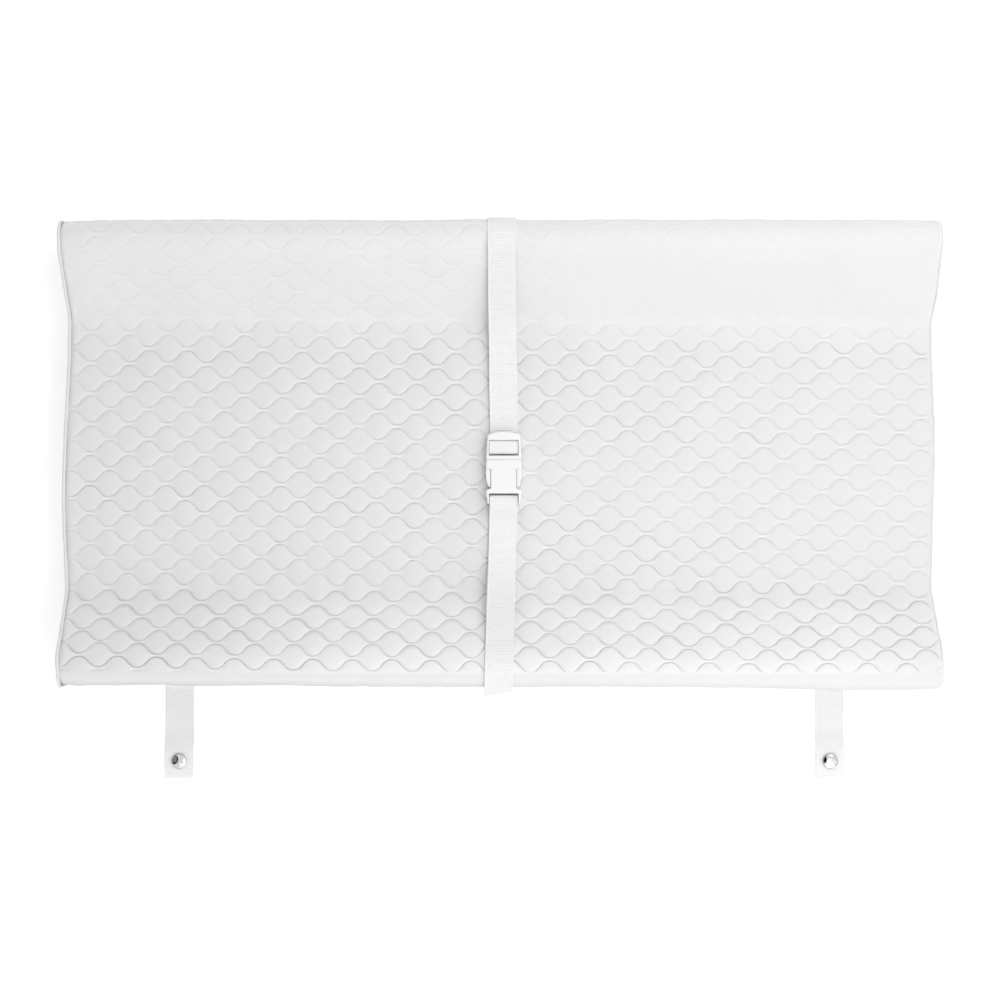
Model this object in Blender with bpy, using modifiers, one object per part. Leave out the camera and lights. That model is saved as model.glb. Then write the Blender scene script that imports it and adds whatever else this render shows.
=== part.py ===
"""Contoured changing pad with a webbing safety belt and two snap-on anchor tabs.

Frame: metres, +Z up, origin at the centre of the pad's underside. +X runs along the pad's length, +Y to its back wall.
Lengths in the constants are millimetres and are turned into metres once, by MM.
"""

import math

import bmesh
import bpy
from mathutils import Matrix, Vector

MM = 0.001

# ---------------------------------------------------------------- pad
HALF_L = 393.5  # half length, over the end panels' piping
HALF_W = 207.5  # half width
RIDGE_Z = 102.0  # top of both walls
VALLEY_Z = 52.0  # surface at the foot of the walls
CROWN = 2.0  # rise of the surface from there to the middle
FOOT_Y = 117.0  # foot of a wall
RIDGE_Y = 193.0  # apex of a wall
SHOULDER_R = 14.5  # outer shoulder
BASE_R = 6.0  # lower corner
WALL_IN, WALL_OUT = 0.14, 0.30  # shares of a wall over which its slope grows and dies
FRONT_SEAM_Y = 195.0
BACK_SEAM_Z = 84.0
TOP_T = 2.4  # quilted vinyl
BOX_T = 1.2  # plain vinyl
BASE_T = 2.0  # laminated underside
GAP = 0.3
SLIT_Z = 4.4  # lower edge of the boxings: webbing ends leave the cover under it
PIPE_R = 2.0
PIPE_IN = 1.0
PIPE_X = 391.5
COVER_X = 389.2  # half length of the top panel and of the boxings
FOAM_X = 389.1
END_X0, END_X1 = 390.3, 391.5
END_IN = 3.4

# ---------------------------------------------------------------- webbing
WEB_W = 25.4
WEB_T = 1.4
BELT_HINGE_Y = 190.0
BELT_RIDGE_Z = 103.0  # middle of the webbing's thickness over a ridge
BELT_LOW_Z = 56.7  # the same, in the valley
BELT_LAND_Y = 85.0  # where the webbing meets the valley
BELT_IN, BELT_OUT = 0.45, 0.15
BELT_X_BACK, BELT_X_MID, BELT_X_FRONT = 1.0, 3.0, -1.4

# ---------------------------------------------------------------- buckle, along Y from its plug end
BX = 3.0  # its middle, in X
SOCK_Z0, SOCK_Z1 = 55.0, 66.6
SHELL_T = 2.2
MOUTH_Y = -5.3
COLLAR_Y = -13.2
WINDOW_Y = -30.8
SLOT_Y0, SLOT_Y1 = -35.2, -38.9
BAR_Y = -43.4
SOCK_END_Y = -45.0
SOCK_W = 16.1
CAVITY_W = 14.4
SHELL_W = 11.4
PLUG_Z0, PLUG_Z1 = 57.8, 65.4
PLUG_END_Y = 20.0
RAIL_IN = 13.4
TONGUE_W = 3.0

# ---------------------------------------------------------------- anchor tabs and their snaps
TAB_W = 27.0
TAB_X = (-299.0, 307.0)
TAB_HINGE_Y, TAB_HINGE_Z = -208.6, 3.0
TAB_ROOT_CLEAR = 0.9  # from the hinge line to the sewn end, so that the tab's root can turn
TAB_END_Y = -299.0
SNAP_Y = -283.0
TAB_FLAT_Z, TAB_RAISED_Z = 0.9, 4.6
CAP_R, CAP_H = 7.0, 2.9
SOCKET_R, SOCKET_H = 6.3, 3.2
STUD_R = 2.8

for o in list(bpy.data.objects):
    bpy.data.objects.remove(o)

PARTS = bpy.data.collections.new("changing_pad")
CUTTERS = bpy.data.collections.new("cutters")
bpy.context.scene.collection.children.link(PARTS)
bpy.context.scene.collection.children.link(CUTTERS)


def material(name, colour, roughness, metallic=0.0):
    m = bpy.data.materials.new(name)
    m.use_nodes = True
    shader = m.node_tree.nodes["Principled BSDF"]
    shader.inputs["Base Color"].default_value = (*colour, 1)
    shader.inputs["Roughness"].default_value = roughness
    shader.inputs["Metallic"].default_value = metallic
    return m


COLOURS = {
    "quilted_vinyl": ((0.86, 0.86, 0.86), 0.42, 0.0),
    "plain_vinyl": ((0.88, 0.88, 0.88), 0.38, 0.0),
    "foam": ((0.9, 0.88, 0.8), 0.95, 0.0),
    "base_cloth": ((0.8, 0.8, 0.8), 0.8, 0.0),
    "webbing": ((0.88, 0.88, 0.88), 0.75, 0.0),
    "buckle_plastic": ((0.93, 0.93, 0.93), 0.25, 0.0),
    "snap_chrome": ((0.8, 0.8, 0.81), 0.12, 1.0),
}


def dress(obj, kind):
    colour, roughness, metallic = COLOURS[kind]
    obj.data.materials.clear()
    obj.data.materials.append(material(obj.name + "_" + kind, colour, roughness, metallic))
    return obj


def put(obj, kind):
    PARTS.objects.link(obj)
    return dress(obj, kind)


# ---------------------------------------------------------------- section of the pad


def rise(t, grow, die):
    """0 to 1 with a slope that grows over the first share, stays, and dies over the last."""
    t = min(max(t, 0.0), 1.0)
    top = 1 / (1 - (grow + die) / 2)
    if t < grow:
        return top * t * t / (2 * grow)
    if t <= 1 - die:
        return top * (grow / 2 + t - grow)
    return 1 - top * (1 - t) ** 2 / (2 * die)


def surface_z(y):
    y = abs(y)
    if y <= FOOT_Y:
        return VALLEY_Z + CROWN * (1 - (y / FOOT_Y) ** 2)
    return VALLEY_Z + (RIDGE_Z - VALLEY_Z) * rise((y - FOOT_Y) / (RIDGE_Y - FOOT_Y), WALL_IN, WALL_OUT)


def spread(a, b, n, first=True):
    return [a + (b - a) * i / n for i in range(0 if first else 1, n + 1)]


def half_section():
    """(y, z) from the middle of the valley over the ridge to the underside, on the outside of the cover, back half."""
    points = [(y, surface_z(y)) for y in spread(0, FOOT_Y, 5)]
    points += [(y, surface_z(y)) for y in spread(FOOT_Y, RIDGE_Y, 14, False)]
    cz = RIDGE_Z - SHOULDER_R
    for a in spread(90, 0, 8, False):
        points.append((RIDGE_Y + SHOULDER_R * math.cos(math.radians(a)), cz + SHOULDER_R * math.sin(math.radians(a))))
    points += [(HALF_W, z) for z in spread(cz, BASE_R, 4, False)]
    for a in spread(0, -90, 4, False):
        points.append(
            (HALF_W - BASE_R + BASE_R * math.cos(math.radians(a)), BASE_R + BASE_R * math.sin(math.radians(a)))
        )
    return points


def whole_section():
    back = half_section()
    return [(-y, z) for y, z in reversed(back[1:])] + back


def offset(path, d):
    """The path moved d to the left of its direction of travel, mitred."""
    out = []
    for i, p in enumerate(path):
        a = path[max(i - 1, 0)]
        b = path[min(i + 1, len(path) - 1)]
        u = Vector((p[0] - a[0], p[1] - a[1])) if i else Vector((b[0] - p[0], b[1] - p[1]))
        v = Vector((b[0] - p[0], b[1] - p[1])) if i < len(path) - 1 else u
        u, v = u.normalized(), v.normalized()
        n = Vector((-u.y - v.y, u.x + v.x))
        n = n / max(n.length_squared / 2, 0.2)
        out.append((p[0] + d * n.x, p[1] + d * n.y))
    return out


def clipped(path, keep):
    """The run of points of the path for which keep is true."""
    return [p for p in path if keep(p)]


def outline_object(name, points, half, x=0.0, along="X"):
    """A flat closed outline given half its thickness each way. Along X the outline's two numbers are y and z, along Z they are x and y."""
    curve = bpy.data.curves.new(name, "CURVE")
    curve.dimensions = "2D"
    curve.fill_mode = "BOTH"
    curve.extrude = half * MM
    spline = curve.splines.new("POLY")
    spline.points.add(len(points) - 1)
    for s, (a, b) in zip(spline.points, points):
        s.co = (a * MM, b * MM, 0, 1)
    spline.use_cyclic_u = True
    obj = bpy.data.objects.new(name, curve)
    if along == "X":
        obj.rotation_euler = (math.pi / 2, 0, math.pi / 2)
    obj.location = (x * MM, 0, 0)
    return obj


def meshed(obj):
    """The curve object's shape as a closed mesh object of the same name, in world coordinates."""
    name = obj.name
    bpy.context.scene.collection.objects.link(obj)
    bpy.context.view_layer.update()
    graph = bpy.context.evaluated_depsgraph_get()
    mesh = bpy.data.meshes.new_from_object(obj.evaluated_get(graph))
    mesh.transform(obj.matrix_world)
    curve = obj.data
    bpy.data.objects.remove(obj)
    bpy.data.curves.remove(curve)
    bm = bmesh.new()
    bm.from_mesh(mesh)
    bmesh.ops.remove_doubles(bm, verts=bm.verts, dist=1e-6)
    bmesh.ops.recalc_face_normals(bm, faces=bm.faces)
    bm.to_mesh(mesh)
    bm.free()
    return bpy.data.objects.new(name, mesh)


def slab(path, inner):
    """Closed outline of a sheet whose outside is the path and whose thickness goes inward."""
    return path + list(reversed(offset(path, -inner)))


section = whole_section()

# Foam core: the whole section, inset by the cover.
core = offset(section, -(TOP_T + GAP))
core = [(max(-HALF_W + BOX_T + GAP, min(HALF_W - BOX_T - GAP, y)), max(z, BASE_T + GAP)) for y, z in core]
corner = HALF_W - BOX_T - GAP
clear_y, clear_z = HALF_W - 10.0, 9.0
core = [p for p in core if not (abs(p[0]) > clear_y and p[1] < clear_z)]
core = [p for p in core if p[1] > BASE_T + GAP + 0.01]
core = [(-clear_y, BASE_T + GAP), (-corner, clear_z)] + core + [(corner, clear_z), (clear_y, BASE_T + GAP)]
foam = put(outline_object("foam_core", core, FOAM_X), "foam")

# Quilted top panel: one sheet from the front seam to the back seam.
top_path = clipped(section, lambda p: p[0] > -FRONT_SEAM_Y and not (p[0] > RIDGE_Y and p[1] < BACK_SEAM_Z + 1))
seam_front_z = RIDGE_Z - (SHOULDER_R - math.sqrt(SHOULDER_R**2 - (FRONT_SEAM_Y - RIDGE_Y) ** 2))
top_path = [(-FRONT_SEAM_Y + GAP, seam_front_z)] + top_path + [(HALF_W, BACK_SEAM_Z + GAP)]
put(outline_object("quilted_top_panel", slab(top_path, TOP_T), COVER_X), "quilted_vinyl")

# Plain boxings: front wall's shoulder and face, back wall's face.
front_path = [(-HALF_W, SLIT_Z)] + clipped(section, lambda p: p[0] < -FRONT_SEAM_Y - 0.3 and p[1] > BASE_R + 0.1)
front_path += [(-FRONT_SEAM_Y - GAP, seam_front_z)]
put(outline_object("front_boxing", slab(front_path, BOX_T), COVER_X), "plain_vinyl")
back_path = [(HALF_W, BACK_SEAM_Z - GAP)]
back_path += clipped(section, lambda p: p[0] > HALF_W - 0.1 and BASE_R + 0.1 < p[1] < BACK_SEAM_Z - 2)
back_path += [(HALF_W, SLIT_Z)]
put(outline_object("back_boxing", slab(back_path, BOX_T), COVER_X), "plain_vinyl")

# Underside.
base_y = HALF_W - 1.3
base_outline = [(-base_y, 0.8), (-base_y + 0.8, 0.0), (base_y - 0.8, 0.0), (base_y, 0.8), (base_y, BASE_T), (-base_y, BASE_T)]
put(outline_object("base_panel", base_outline, END_X1), "base_cloth")

# Flat ends and the piping in their seams.
end_outline = [p for p in offset(section, -END_IN) if p[1] > BASE_T + GAP + 1.0]
end_outline = (
    [(end_outline[0][0], BASE_T + GAP + 0.1)] + end_outline + [(end_outline[-1][0], BASE_T + GAP + 0.1)]
)
pipe_path = [p for p in offset(section, -PIPE_IN) if p[1] > BASE_R + 1]
pipe_path = [(pipe_path[0][0], BASE_T + GAP + 0.3)] + pipe_path + [(pipe_path[-1][0], BASE_T + GAP + 0.3)]
for side, sign in (("left", -1), ("right", 1)):
    put(
        outline_object(side + "_end_panel", end_outline, (END_X1 - END_X0) / 2, sign * (END_X0 + END_X1) / 2),
        "plain_vinyl",
    )
    curve = bpy.data.curves.new(side + "_piping", "CURVE")
    curve.dimensions = "3D"
    curve.bevel_depth = PIPE_R * MM
    curve.bevel_resolution = 2
    curve.use_fill_caps = True
    spline = curve.splines.new("POLY")
    spline.points.add(len(pipe_path) - 1)
    for s, (y, z) in zip(spline.points, pipe_path):
        s.co = (sign * PIPE_X * MM, y * MM, z * MM, 1)
    put(bpy.data.objects.new(side + "_piping", curve), "plain_vinyl")


# ---------------------------------------------------------------- webbing


def band(name, path, width, x, thickness=WEB_T):
    """A webbing strip: the path is the middle of its thickness, in (y, z)."""
    outline = offset(path, thickness / 2) + list(reversed(offset(path, -thickness / 2)))
    return outline_object(name, outline, width / 2, x)


def arc(cy, cz, ry, rz, a0, a1, n):
    return [
        (cy + ry * math.cos(math.radians(a)), cz + rz * math.sin(math.radians(a))) for a in spread(a0, a1, n)
    ]


def smooth(points, n=4):
    """Points of a Catmull-Rom curve through the given ones."""
    out = []
    for i in range(len(points) - 1):
        p0, p1 = points[max(i - 1, 0)], points[i]
        p2, p3 = points[i + 1], points[min(i + 2, len(points) - 1)]
        for k in range(n):
            t = k / n
            out.append(
                tuple(
                    0.5
                    * (
                        2 * p1[j]
                        + (p2[j] - p0[j]) * t
                        + (2 * p0[j] - 5 * p1[j] + 4 * p2[j] - p3[j]) * t * t
                        + (3 * p1[j] - p0[j] - 3 * p2[j] + p3[j]) * t**3
                    )
                    for j in (0, 1)
                )
            )
    return out + [points[-1]]


def belt_z(y):
    t = (abs(y) - BELT_LAND_Y) / (BELT_HINGE_Y - BELT_LAND_Y)
    return BELT_LOW_Z + (BELT_RIDGE_Z - BELT_LOW_Z) * rise(t, BELT_IN, BELT_OUT)


def anchor_path(sign, bulge):
    """From the ridge over the shoulder, down the face and into the base seam."""
    knots = [
        (BELT_HINGE_Y + 0.25, BELT_RIDGE_Z),
        (197.0, BELT_RIDGE_Z - 0.4),
        (204.5, 99.0),
        (HALF_W + 0.45 * bulge + 0.8, 91.5),
        (HALF_W + 0.9 * bulge + 0.6, 82.0),
        (HALF_W + bulge + 0.6, 70.0),
        (HALF_W + 0.55 * bulge + 1.0, 42.0),
        (HALF_W + 1.2, 18.0),
        (HALF_W + 1.2, 7.0),
        (HALF_W + 0.3, 3.6),
        (HALF_W - 2.5, 3.15),
        (HALF_W - 8.0, 3.1),
    ]
    return [(sign * y, z) for y, z in smooth(knots, 3)]


put(band("back_belt_anchor", anchor_path(1, 2.2), WEB_W, BELT_X_BACK), "webbing")
put(band("front_belt_anchor", anchor_path(-1, 7.4), WEB_W, BELT_X_FRONT), "webbing")

# Back half: from the ridge down to the valley and on under the adjuster.
back_run_path = [(y, belt_z(y)) for y in spread(BELT_HINGE_Y - 0.25, BELT_LAND_Y, 16)] + [(45.0, BELT_LOW_Z), (3.4, BELT_LOW_Z)]
back_run = put(band("back_belt_run", back_run_path, WEB_W, BELT_X_BACK + 1.0), "webbing")

# Loose end of the same webbing, lying under it.
tail_z = surface_z(0) + 0.35 + 0.65
tail = put(band("belt_tail", [(80.0, tail_z), (40.0, tail_z), (4.4, tail_z)], WEB_W, BELT_X_MID, 1.3), "webbing")

# Webbing round the adjuster's middle bar.
adjuster_knots = [
    (17.2, 58.6), (13.6, 58.62), (12.2, 59.1), (11.45, 60.4), (11.35, 61.9), (10.6, 62.85),
    (8.8, 63.0), (4.0, 63.0), (2.1, 62.85), (1.35, 61.9), (1.3, 60.4), (1.7, 59.1), (3.0, 58.55), (9.0, 58.55),
]
adjuster = put(band("adjuster_webbing", smooth(adjuster_knots, 2), WEB_W, BX, 1.3), "webbing")

# Front half: from the ridge to the socket, round its bar, and back under itself.
front_run_path = [(-y, belt_z(y)) for y in spread(BELT_HINGE_Y - 0.25, BELT_LAND_Y, 16)] + [(-66.0, BELT_LOW_Z)]
loop_knots = [
    (-60.0, 57.3), (-54.0, 59.7), (-48.5, 62.6), (-44.0, 63.7), (-40.0, 63.75), (-38.1, 63.2),
    (-37.15, 61.9), (-37.15, 59.7), (-38.0, 58.1), (-40.2, 57.5), (-44.5, 57.4), (-49.0, 56.4), (-55.0, 55.15),
]
front_run_path += smooth(loop_knots, 3) + [(-68.0, 55.05), (-82.0, 55.05)]
front_run = put(band("front_belt_run", front_run_path, WEB_W, (BELT_X_FRONT + BX) / 2 + 0.8), "webbing")


# ---------------------------------------------------------------- solid helpers for the hard parts


def block(name, x, y, z, bevel=0.0, segments=2):
    """A box between the given pairs, with rounded edges."""
    mesh = bpy.data.meshes.new(name)
    bm = bmesh.new()
    bmesh.ops.create_cube(bm, size=1)
    bmesh.ops.scale(bm, vec=Vector([abs(b - a) * MM for a, b in (x, y, z)]), verts=bm.verts)
    bmesh.ops.translate(bm, vec=Vector([(a + b) / 2 * MM for a, b in (x, y, z)]), verts=bm.verts)
    if bevel:
        bmesh.ops.bevel(bm, geom=bm.edges[:], offset=bevel * MM, segments=segments, profile=0.5, affect="EDGES")
    bm.to_mesh(mesh)
    bm.free()
    return bpy.data.objects.new(name, mesh)


def plate(name, points, z0, z1, bevel=0.0, segments=2):
    """An outline in plan (x, y), between two heights, with rounded upper and lower edges."""
    obj = meshed(outline_object(name, points, abs(z1 - z0) / 2, along="Z"))
    bm = bmesh.new()
    bm.from_mesh(obj.data)
    bmesh.ops.translate(bm, vec=Vector((0, 0, (z0 + z1) / 2 * MM)), verts=bm.verts)
    bmesh.ops.dissolve_limit(bm, angle_limit=0.001, verts=bm.verts[:], edges=bm.edges[:])
    if bevel:
        rim = [e for e in bm.edges if abs(e.verts[0].co.z - e.verts[1].co.z) < 1e-7 and len(e.link_faces) == 2
               and abs(e.link_faces[0].normal.z - e.link_faces[1].normal.z) > 0.5]
        bmesh.ops.bevel(bm, geom=rim, offset=bevel * MM, segments=segments, profile=0.5, affect="EDGES")
    bm.to_mesh(obj.data)
    bm.free()
    return obj


def combine(target, tool, operation):
    CUTTERS.objects.link(tool)
    tool.hide_render = True
    tool.display_type = "WIRE"
    m = target.modifiers.new(operation.lower() + "_" + tool.name, "BOOLEAN")
    m.operation = operation
    m.solver = "EXACT"
    m.object = tool
    return target


def mirrored(points):
    """A plan outline symmetrical about X = 0, from its right-hand points in order."""
    return points + [(-x, y) for x, y in reversed(points) if abs(x) > 1e-9]


def at_buckle(points):
    return [(x + BX, y) for x, y in points]


def rounded(points, radius, n=3):
    """The closed outline with its corners rounded off."""
    out = []
    for i, p in enumerate(points):
        a, b = Vector(points[i - 1]), Vector(points[(i + 1) % len(points)])
        c = Vector(p)
        ra = min(radius, (a - c).length * 0.45)
        rb = min(radius, (b - c).length * 0.45)
        p0, p1 = c + (a - c).normalized() * ra, c + (b - c).normalized() * rb
        for k in range(n + 1):
            t = k / n
            q = (1 - t) ** 2 * p0 + 2 * t * (1 - t) * c + t * t * p1
            out.append((q.x, q.y))
    return out


# ---------------------------------------------------------------- socket half
socket_plan = mirrored([(SOCK_W - 0.3, MOUTH_Y), (SOCK_W, COLLAR_Y), (SOCK_W, WINDOW_Y - 1.8), (15.9, -35.0), (15.2, -41.0), (14.6, SOCK_END_Y)])
socket = plate("buckle_socket", at_buckle(rounded(socket_plan, 1.6)), SOCK_Z0, SOCK_Z1, 1.3, 3)
socket = put(socket, "buckle_plastic")
combine(
    socket,
    block("socket_cavity", (BX - CAVITY_W, BX + CAVITY_W), (MOUTH_Y + 2, WINDOW_Y + 1.4), (SOCK_Z0 + SHELL_T, SOCK_Z1 - SHELL_T)),
    "DIFFERENCE",
)
for s in (-1, 1):
    window = [(SHELL_W, COLLAR_Y), (SOCK_W + 4, COLLAR_Y), (SOCK_W + 4, WINDOW_Y - 3.2), (SHELL_W + 0.6, WINDOW_Y), (SHELL_W, WINDOW_Y + 0.8)]
    window = [(BX + s * x, y) for x, y in window]
    combine(socket, plate("socket_window_%d" % (s + 1), window, SOCK_Z0 - 3, SOCK_Z1 + 3), "DIFFERENCE")
combine(
    socket,
    block("socket_slot", (BX - RAIL_IN, BX + RAIL_IN), (SLOT_Y0, SLOT_Y1), (SOCK_Z0 - 3, SOCK_Z1 + 3)),
    "DIFFERENCE",
)
combine(
    socket,
    block("socket_bar_top", (BX - RAIL_IN, BX + RAIL_IN), (SLOT_Y1 + 0.5, SOCK_END_Y - 4), (62.6, SOCK_Z1 + 3)),
    "DIFFERENCE",
)
combine(
    socket,
    block("socket_bar_foot", (BX - RAIL_IN, BX + RAIL_IN), (SLOT_Y1 + 0.5, SOCK_END_Y - 4), (SOCK_Z0 - 3, 59.0)),
    "DIFFERENCE",
)
combine(
    socket,
    block("socket_bar_end", (BX - RAIL_IN, BX + RAIL_IN), (BAR_Y, SOCK_END_Y - 4), (58.0, 63.0)),
    "DIFFERENCE",
)

# ---------------------------------------------------------------- plug half with its two webbing slots
arch = [(14.6 * math.sin(math.radians(a)) / math.sin(math.radians(30)), PLUG_END_Y - 1.9 * (1 - math.cos(math.radians(a))) / (1 - math.cos(math.radians(30)))) for a in spread(0, 30, 5)]
plug_plan = mirrored(arch + [(15.9, -1.3), (15.9, MOUTH_Y + 0.35)])
plug = plate("buckle_plug", at_buckle(plug_plan), PLUG_Z0, PLUG_Z1, 1.2, 3)
plug = put(plug, "buckle_plastic")
combine(plug, block("plug_slot_back", (BX - RAIL_IN, BX + RAIL_IN), (10.2, 13.0), (PLUG_Z0 - 3, PLUG_Z1 + 3)), "DIFFERENCE")
combine(plug, block("plug_slot_front", (BX - RAIL_IN, BX + RAIL_IN), (-1.0, 2.6), (PLUG_Z0 - 3, PLUG_Z1 + 3)), "DIFFERENCE")
combine(plug, block("plug_bar_top", (BX - RAIL_IN, BX + RAIL_IN), (2.2, 10.6), (62.0, PLUG_Z1 + 3)), "DIFFERENCE")
combine(plug, block("plug_bar_foot", (BX - RAIL_IN, BX + RAIL_IN), (2.2, 10.6), (PLUG_Z0 - 3, 59.6)), "DIFFERENCE")
combine(plug, block("plug_end_foot", (BX - RAIL_IN, BX + RAIL_IN), (12.6, PLUG_END_Y + 3), (PLUG_Z0 - 3, 59.6)), "DIFFERENCE")
combine(plug, block("plug_tongue", (BX - TONGUE_W, BX + TONGUE_W), (MOUTH_Y + 1.5, -26.0), (58.8, 63.0), 0.6, 2), "UNION")

# ---------------------------------------------------------------- the plug's two spring arms, whose pads fill the socket's windows
ARM_ROOT_Y = MOUTH_Y - 0.1
arms = {}
for side, s in (("left", -1), ("right", 1)):
    stem = [(12.3, ARM_ROOT_Y), (12.3, COLLAR_Y - 0.1), (13.4, COLLAR_Y - 0.5), (13.9, -20.0), (13.6, -25.0), (12.4, -28.6), (10.6, -29.2), (9.2, -27.4), (9.4, -20.0), (9.6, ARM_ROOT_Y)]
    pad = [(11.8, COLLAR_Y - 0.3), (15.6, COLLAR_Y - 0.4), (16.1, COLLAR_Y - 1.2), (16.2, -16.5), (15.9, -22.0), (15.1, -26.0), (13.9, -28.4), (12.4, -29.6), (11.8, -29.4)]
    arm = plate("plug_%s_arm" % side, [(BX + s * x, y) for x, y in rounded(stem, 0.6, 2)], SOCK_Z0 + SHELL_T + 0.5, SOCK_Z1 - SHELL_T - 0.5, 0.3, 1)
    arm = put(arm, "buckle_plastic")
    combine(arm, plate("arm_pad_%s" % side, [(BX + s * x, y) for x, y in pad], SOCK_Z0 + 1.1, SOCK_Z1 - 1.1, 0.5, 2), "UNION")
    arms[side] = arm


# ---------------------------------------------------------------- anchor tabs with their snaps


def turned(name, profile, at, kind):
    """A solid of revolution about Z. The profile, in millimetres, starts at the top on the axis and runs down the outside."""
    mesh = bpy.data.meshes.new(name)
    bm = bmesh.new()
    made = [bm.verts.new((r * MM, 0, z * MM)) for r, z in profile]
    for a, b in zip(made, made[1:]):
        bm.edges.new((a, b))
    bm.to_mesh(mesh)
    bm.free()
    obj = bpy.data.objects.new(name, mesh)
    obj.location = [c * MM for c in at]
    m = obj.modifiers.new("turn", "SCREW")
    m.axis = "Z"
    m.angle = 2 * math.pi
    m.steps = 32
    m.render_steps = 32
    m.use_merge_vertices = True
    m.merge_threshold = 0.00001
    m.use_smooth_shade = True
    return put(obj, kind)


def cap_profile():
    """A domed cap on a rolled rim."""
    points = [(0.0, CAP_H)]
    points += [(r, CAP_H - 0.9 * (r / 5.6) ** 2) for r in spread(0, 5.6, 5, False)]
    points += [(CAP_R - 1.3 + 1.3 * math.cos(math.radians(a)), 0.95 + 0.95 * math.sin(math.radians(a))) for a in spread(70, -40, 5)]
    return points + [(CAP_R - 0.9, 0.0), (0.0, 0.0)]


SOCKET_PROFILE = [
    (0.0, SOCKET_H), (SOCKET_R - 0.5, SOCKET_H), (SOCKET_R, SOCKET_H - 0.4), (SOCKET_R, 1.2), (SOCKET_R - 1.4, 0.6),
    (SOCKET_R - 1.6, 0.0), (STUD_R + 0.3, 0.0), (STUD_R, 0.4), (STUD_R, SOCKET_H - 1.0), (0.0, SOCKET_H - 1.0),
]
tab_knots = [
    (TAB_HINGE_Y - 0.1, TAB_HINGE_Z), (-211.0, 2.7), (-215.5, 1.3), (-221.0, TAB_FLAT_Z), (-240.0, TAB_FLAT_Z),
    (-253.0, TAB_FLAT_Z + 0.1), (-262.0, 2.4), (-270.0, 4.2), (-277.0, TAB_RAISED_Z), (SNAP_Y - 3, TAB_RAISED_Z), (TAB_END_Y, TAB_RAISED_Z),
]
tabs = {}
for side, x in zip(("left", "right"), TAB_X):
    put(band(side + "_tab_sewn_end", [(TAB_HINGE_Y + TAB_ROOT_CLEAR, TAB_HINGE_Z + 0.1), (TAB_HINGE_Y + 9.0, TAB_HINGE_Z + 0.1)], TAB_W, x), "webbing")
    tab = put(band(side + "_anchor_tab", smooth(tab_knots, 3), TAB_W, x), "webbing")
    cap = turned(side + "_snap_cap", cap_profile(), (x, SNAP_Y, TAB_RAISED_Z + WEB_T / 2 + GAP), "snap_chrome")
    seat = turned(side + "_snap_socket", SOCKET_PROFILE, (x, SNAP_Y, TAB_RAISED_Z - WEB_T / 2 - GAP - SOCKET_H), "snap_chrome")
    tabs[side] = [tab, cap, seat]

# ---------------------------------------------------------------- joint frames: each empty stands on its joint's axis


def frame(name, at, children):
    empty = bpy.data.objects.new(name, None)
    empty.location = [c * MM for c in at]
    PARTS.objects.link(empty)
    bpy.context.view_layer.update()
    for child in children:
        child.parent = empty
        child.matrix_parent_inverse = empty.matrix_world.inverted()
    return empty


hinge_z = BELT_RIDGE_Z + WEB_T / 2 + GAP
# The webbing runs a little askew across the pad, turned about its own ridge.
back_skew = math.atan2(BELT_X_MID - BELT_X_BACK, BELT_HINGE_Y - PLUG_END_Y)
front_skew = math.atan2(BX - BELT_X_FRONT, BELT_HINGE_Y + SOCK_END_Y)


def skewed(obj, x0, y0, angle):
    """Places a webbing strip with its middle at x0 on the line y0, turned about Z there."""
    turn = Matrix.Translation((x0 * MM, y0 * MM, 0)) @ Matrix.Rotation(angle, 4, "Z") @ Matrix.Translation((0, -y0 * MM, 0))
    stand = Matrix.Rotation(math.pi / 2, 4, "Z") @ Matrix.Rotation(math.pi / 2, 4, "X")
    obj.matrix_world = turn @ stand


skewed(back_run, BELT_X_BACK, BELT_HINGE_Y, back_skew)
skewed(front_run, BELT_X_FRONT, -BELT_HINGE_Y, -front_skew)
bpy.context.view_layer.update()
frame("back_belt_hinge", (BELT_X_BACK, BELT_HINGE_Y, hinge_z), [back_run, tail])
frame("front_belt_hinge", (BELT_X_FRONT, -BELT_HINGE_Y, hinge_z), [front_run, socket])
frame("buckle_slide", (BX, MOUTH_Y, (PLUG_Z0 + PLUG_Z1) / 2), [plug, adjuster])
for side, s in (("left", -1), ("right", 1)):
    frame(side + "_arm_hinge", (BX + s * 11.0, ARM_ROOT_Y, 60.8), [arms[side]])
for side, x in zip(("left", "right"), TAB_X):
    frame(side + "_tab_hinge", (x, TAB_HINGE_Y, TAB_HINGE_Z), tabs[side])

for o in PARTS.objects:
    if o.type == "MESH":
        for p in o.data.polygons:
            p.use_smooth = "snap" in o.name
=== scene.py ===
import math

import bpy
import bmesh
import numpy as np
from mathutils import Matrix, Vector


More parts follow.
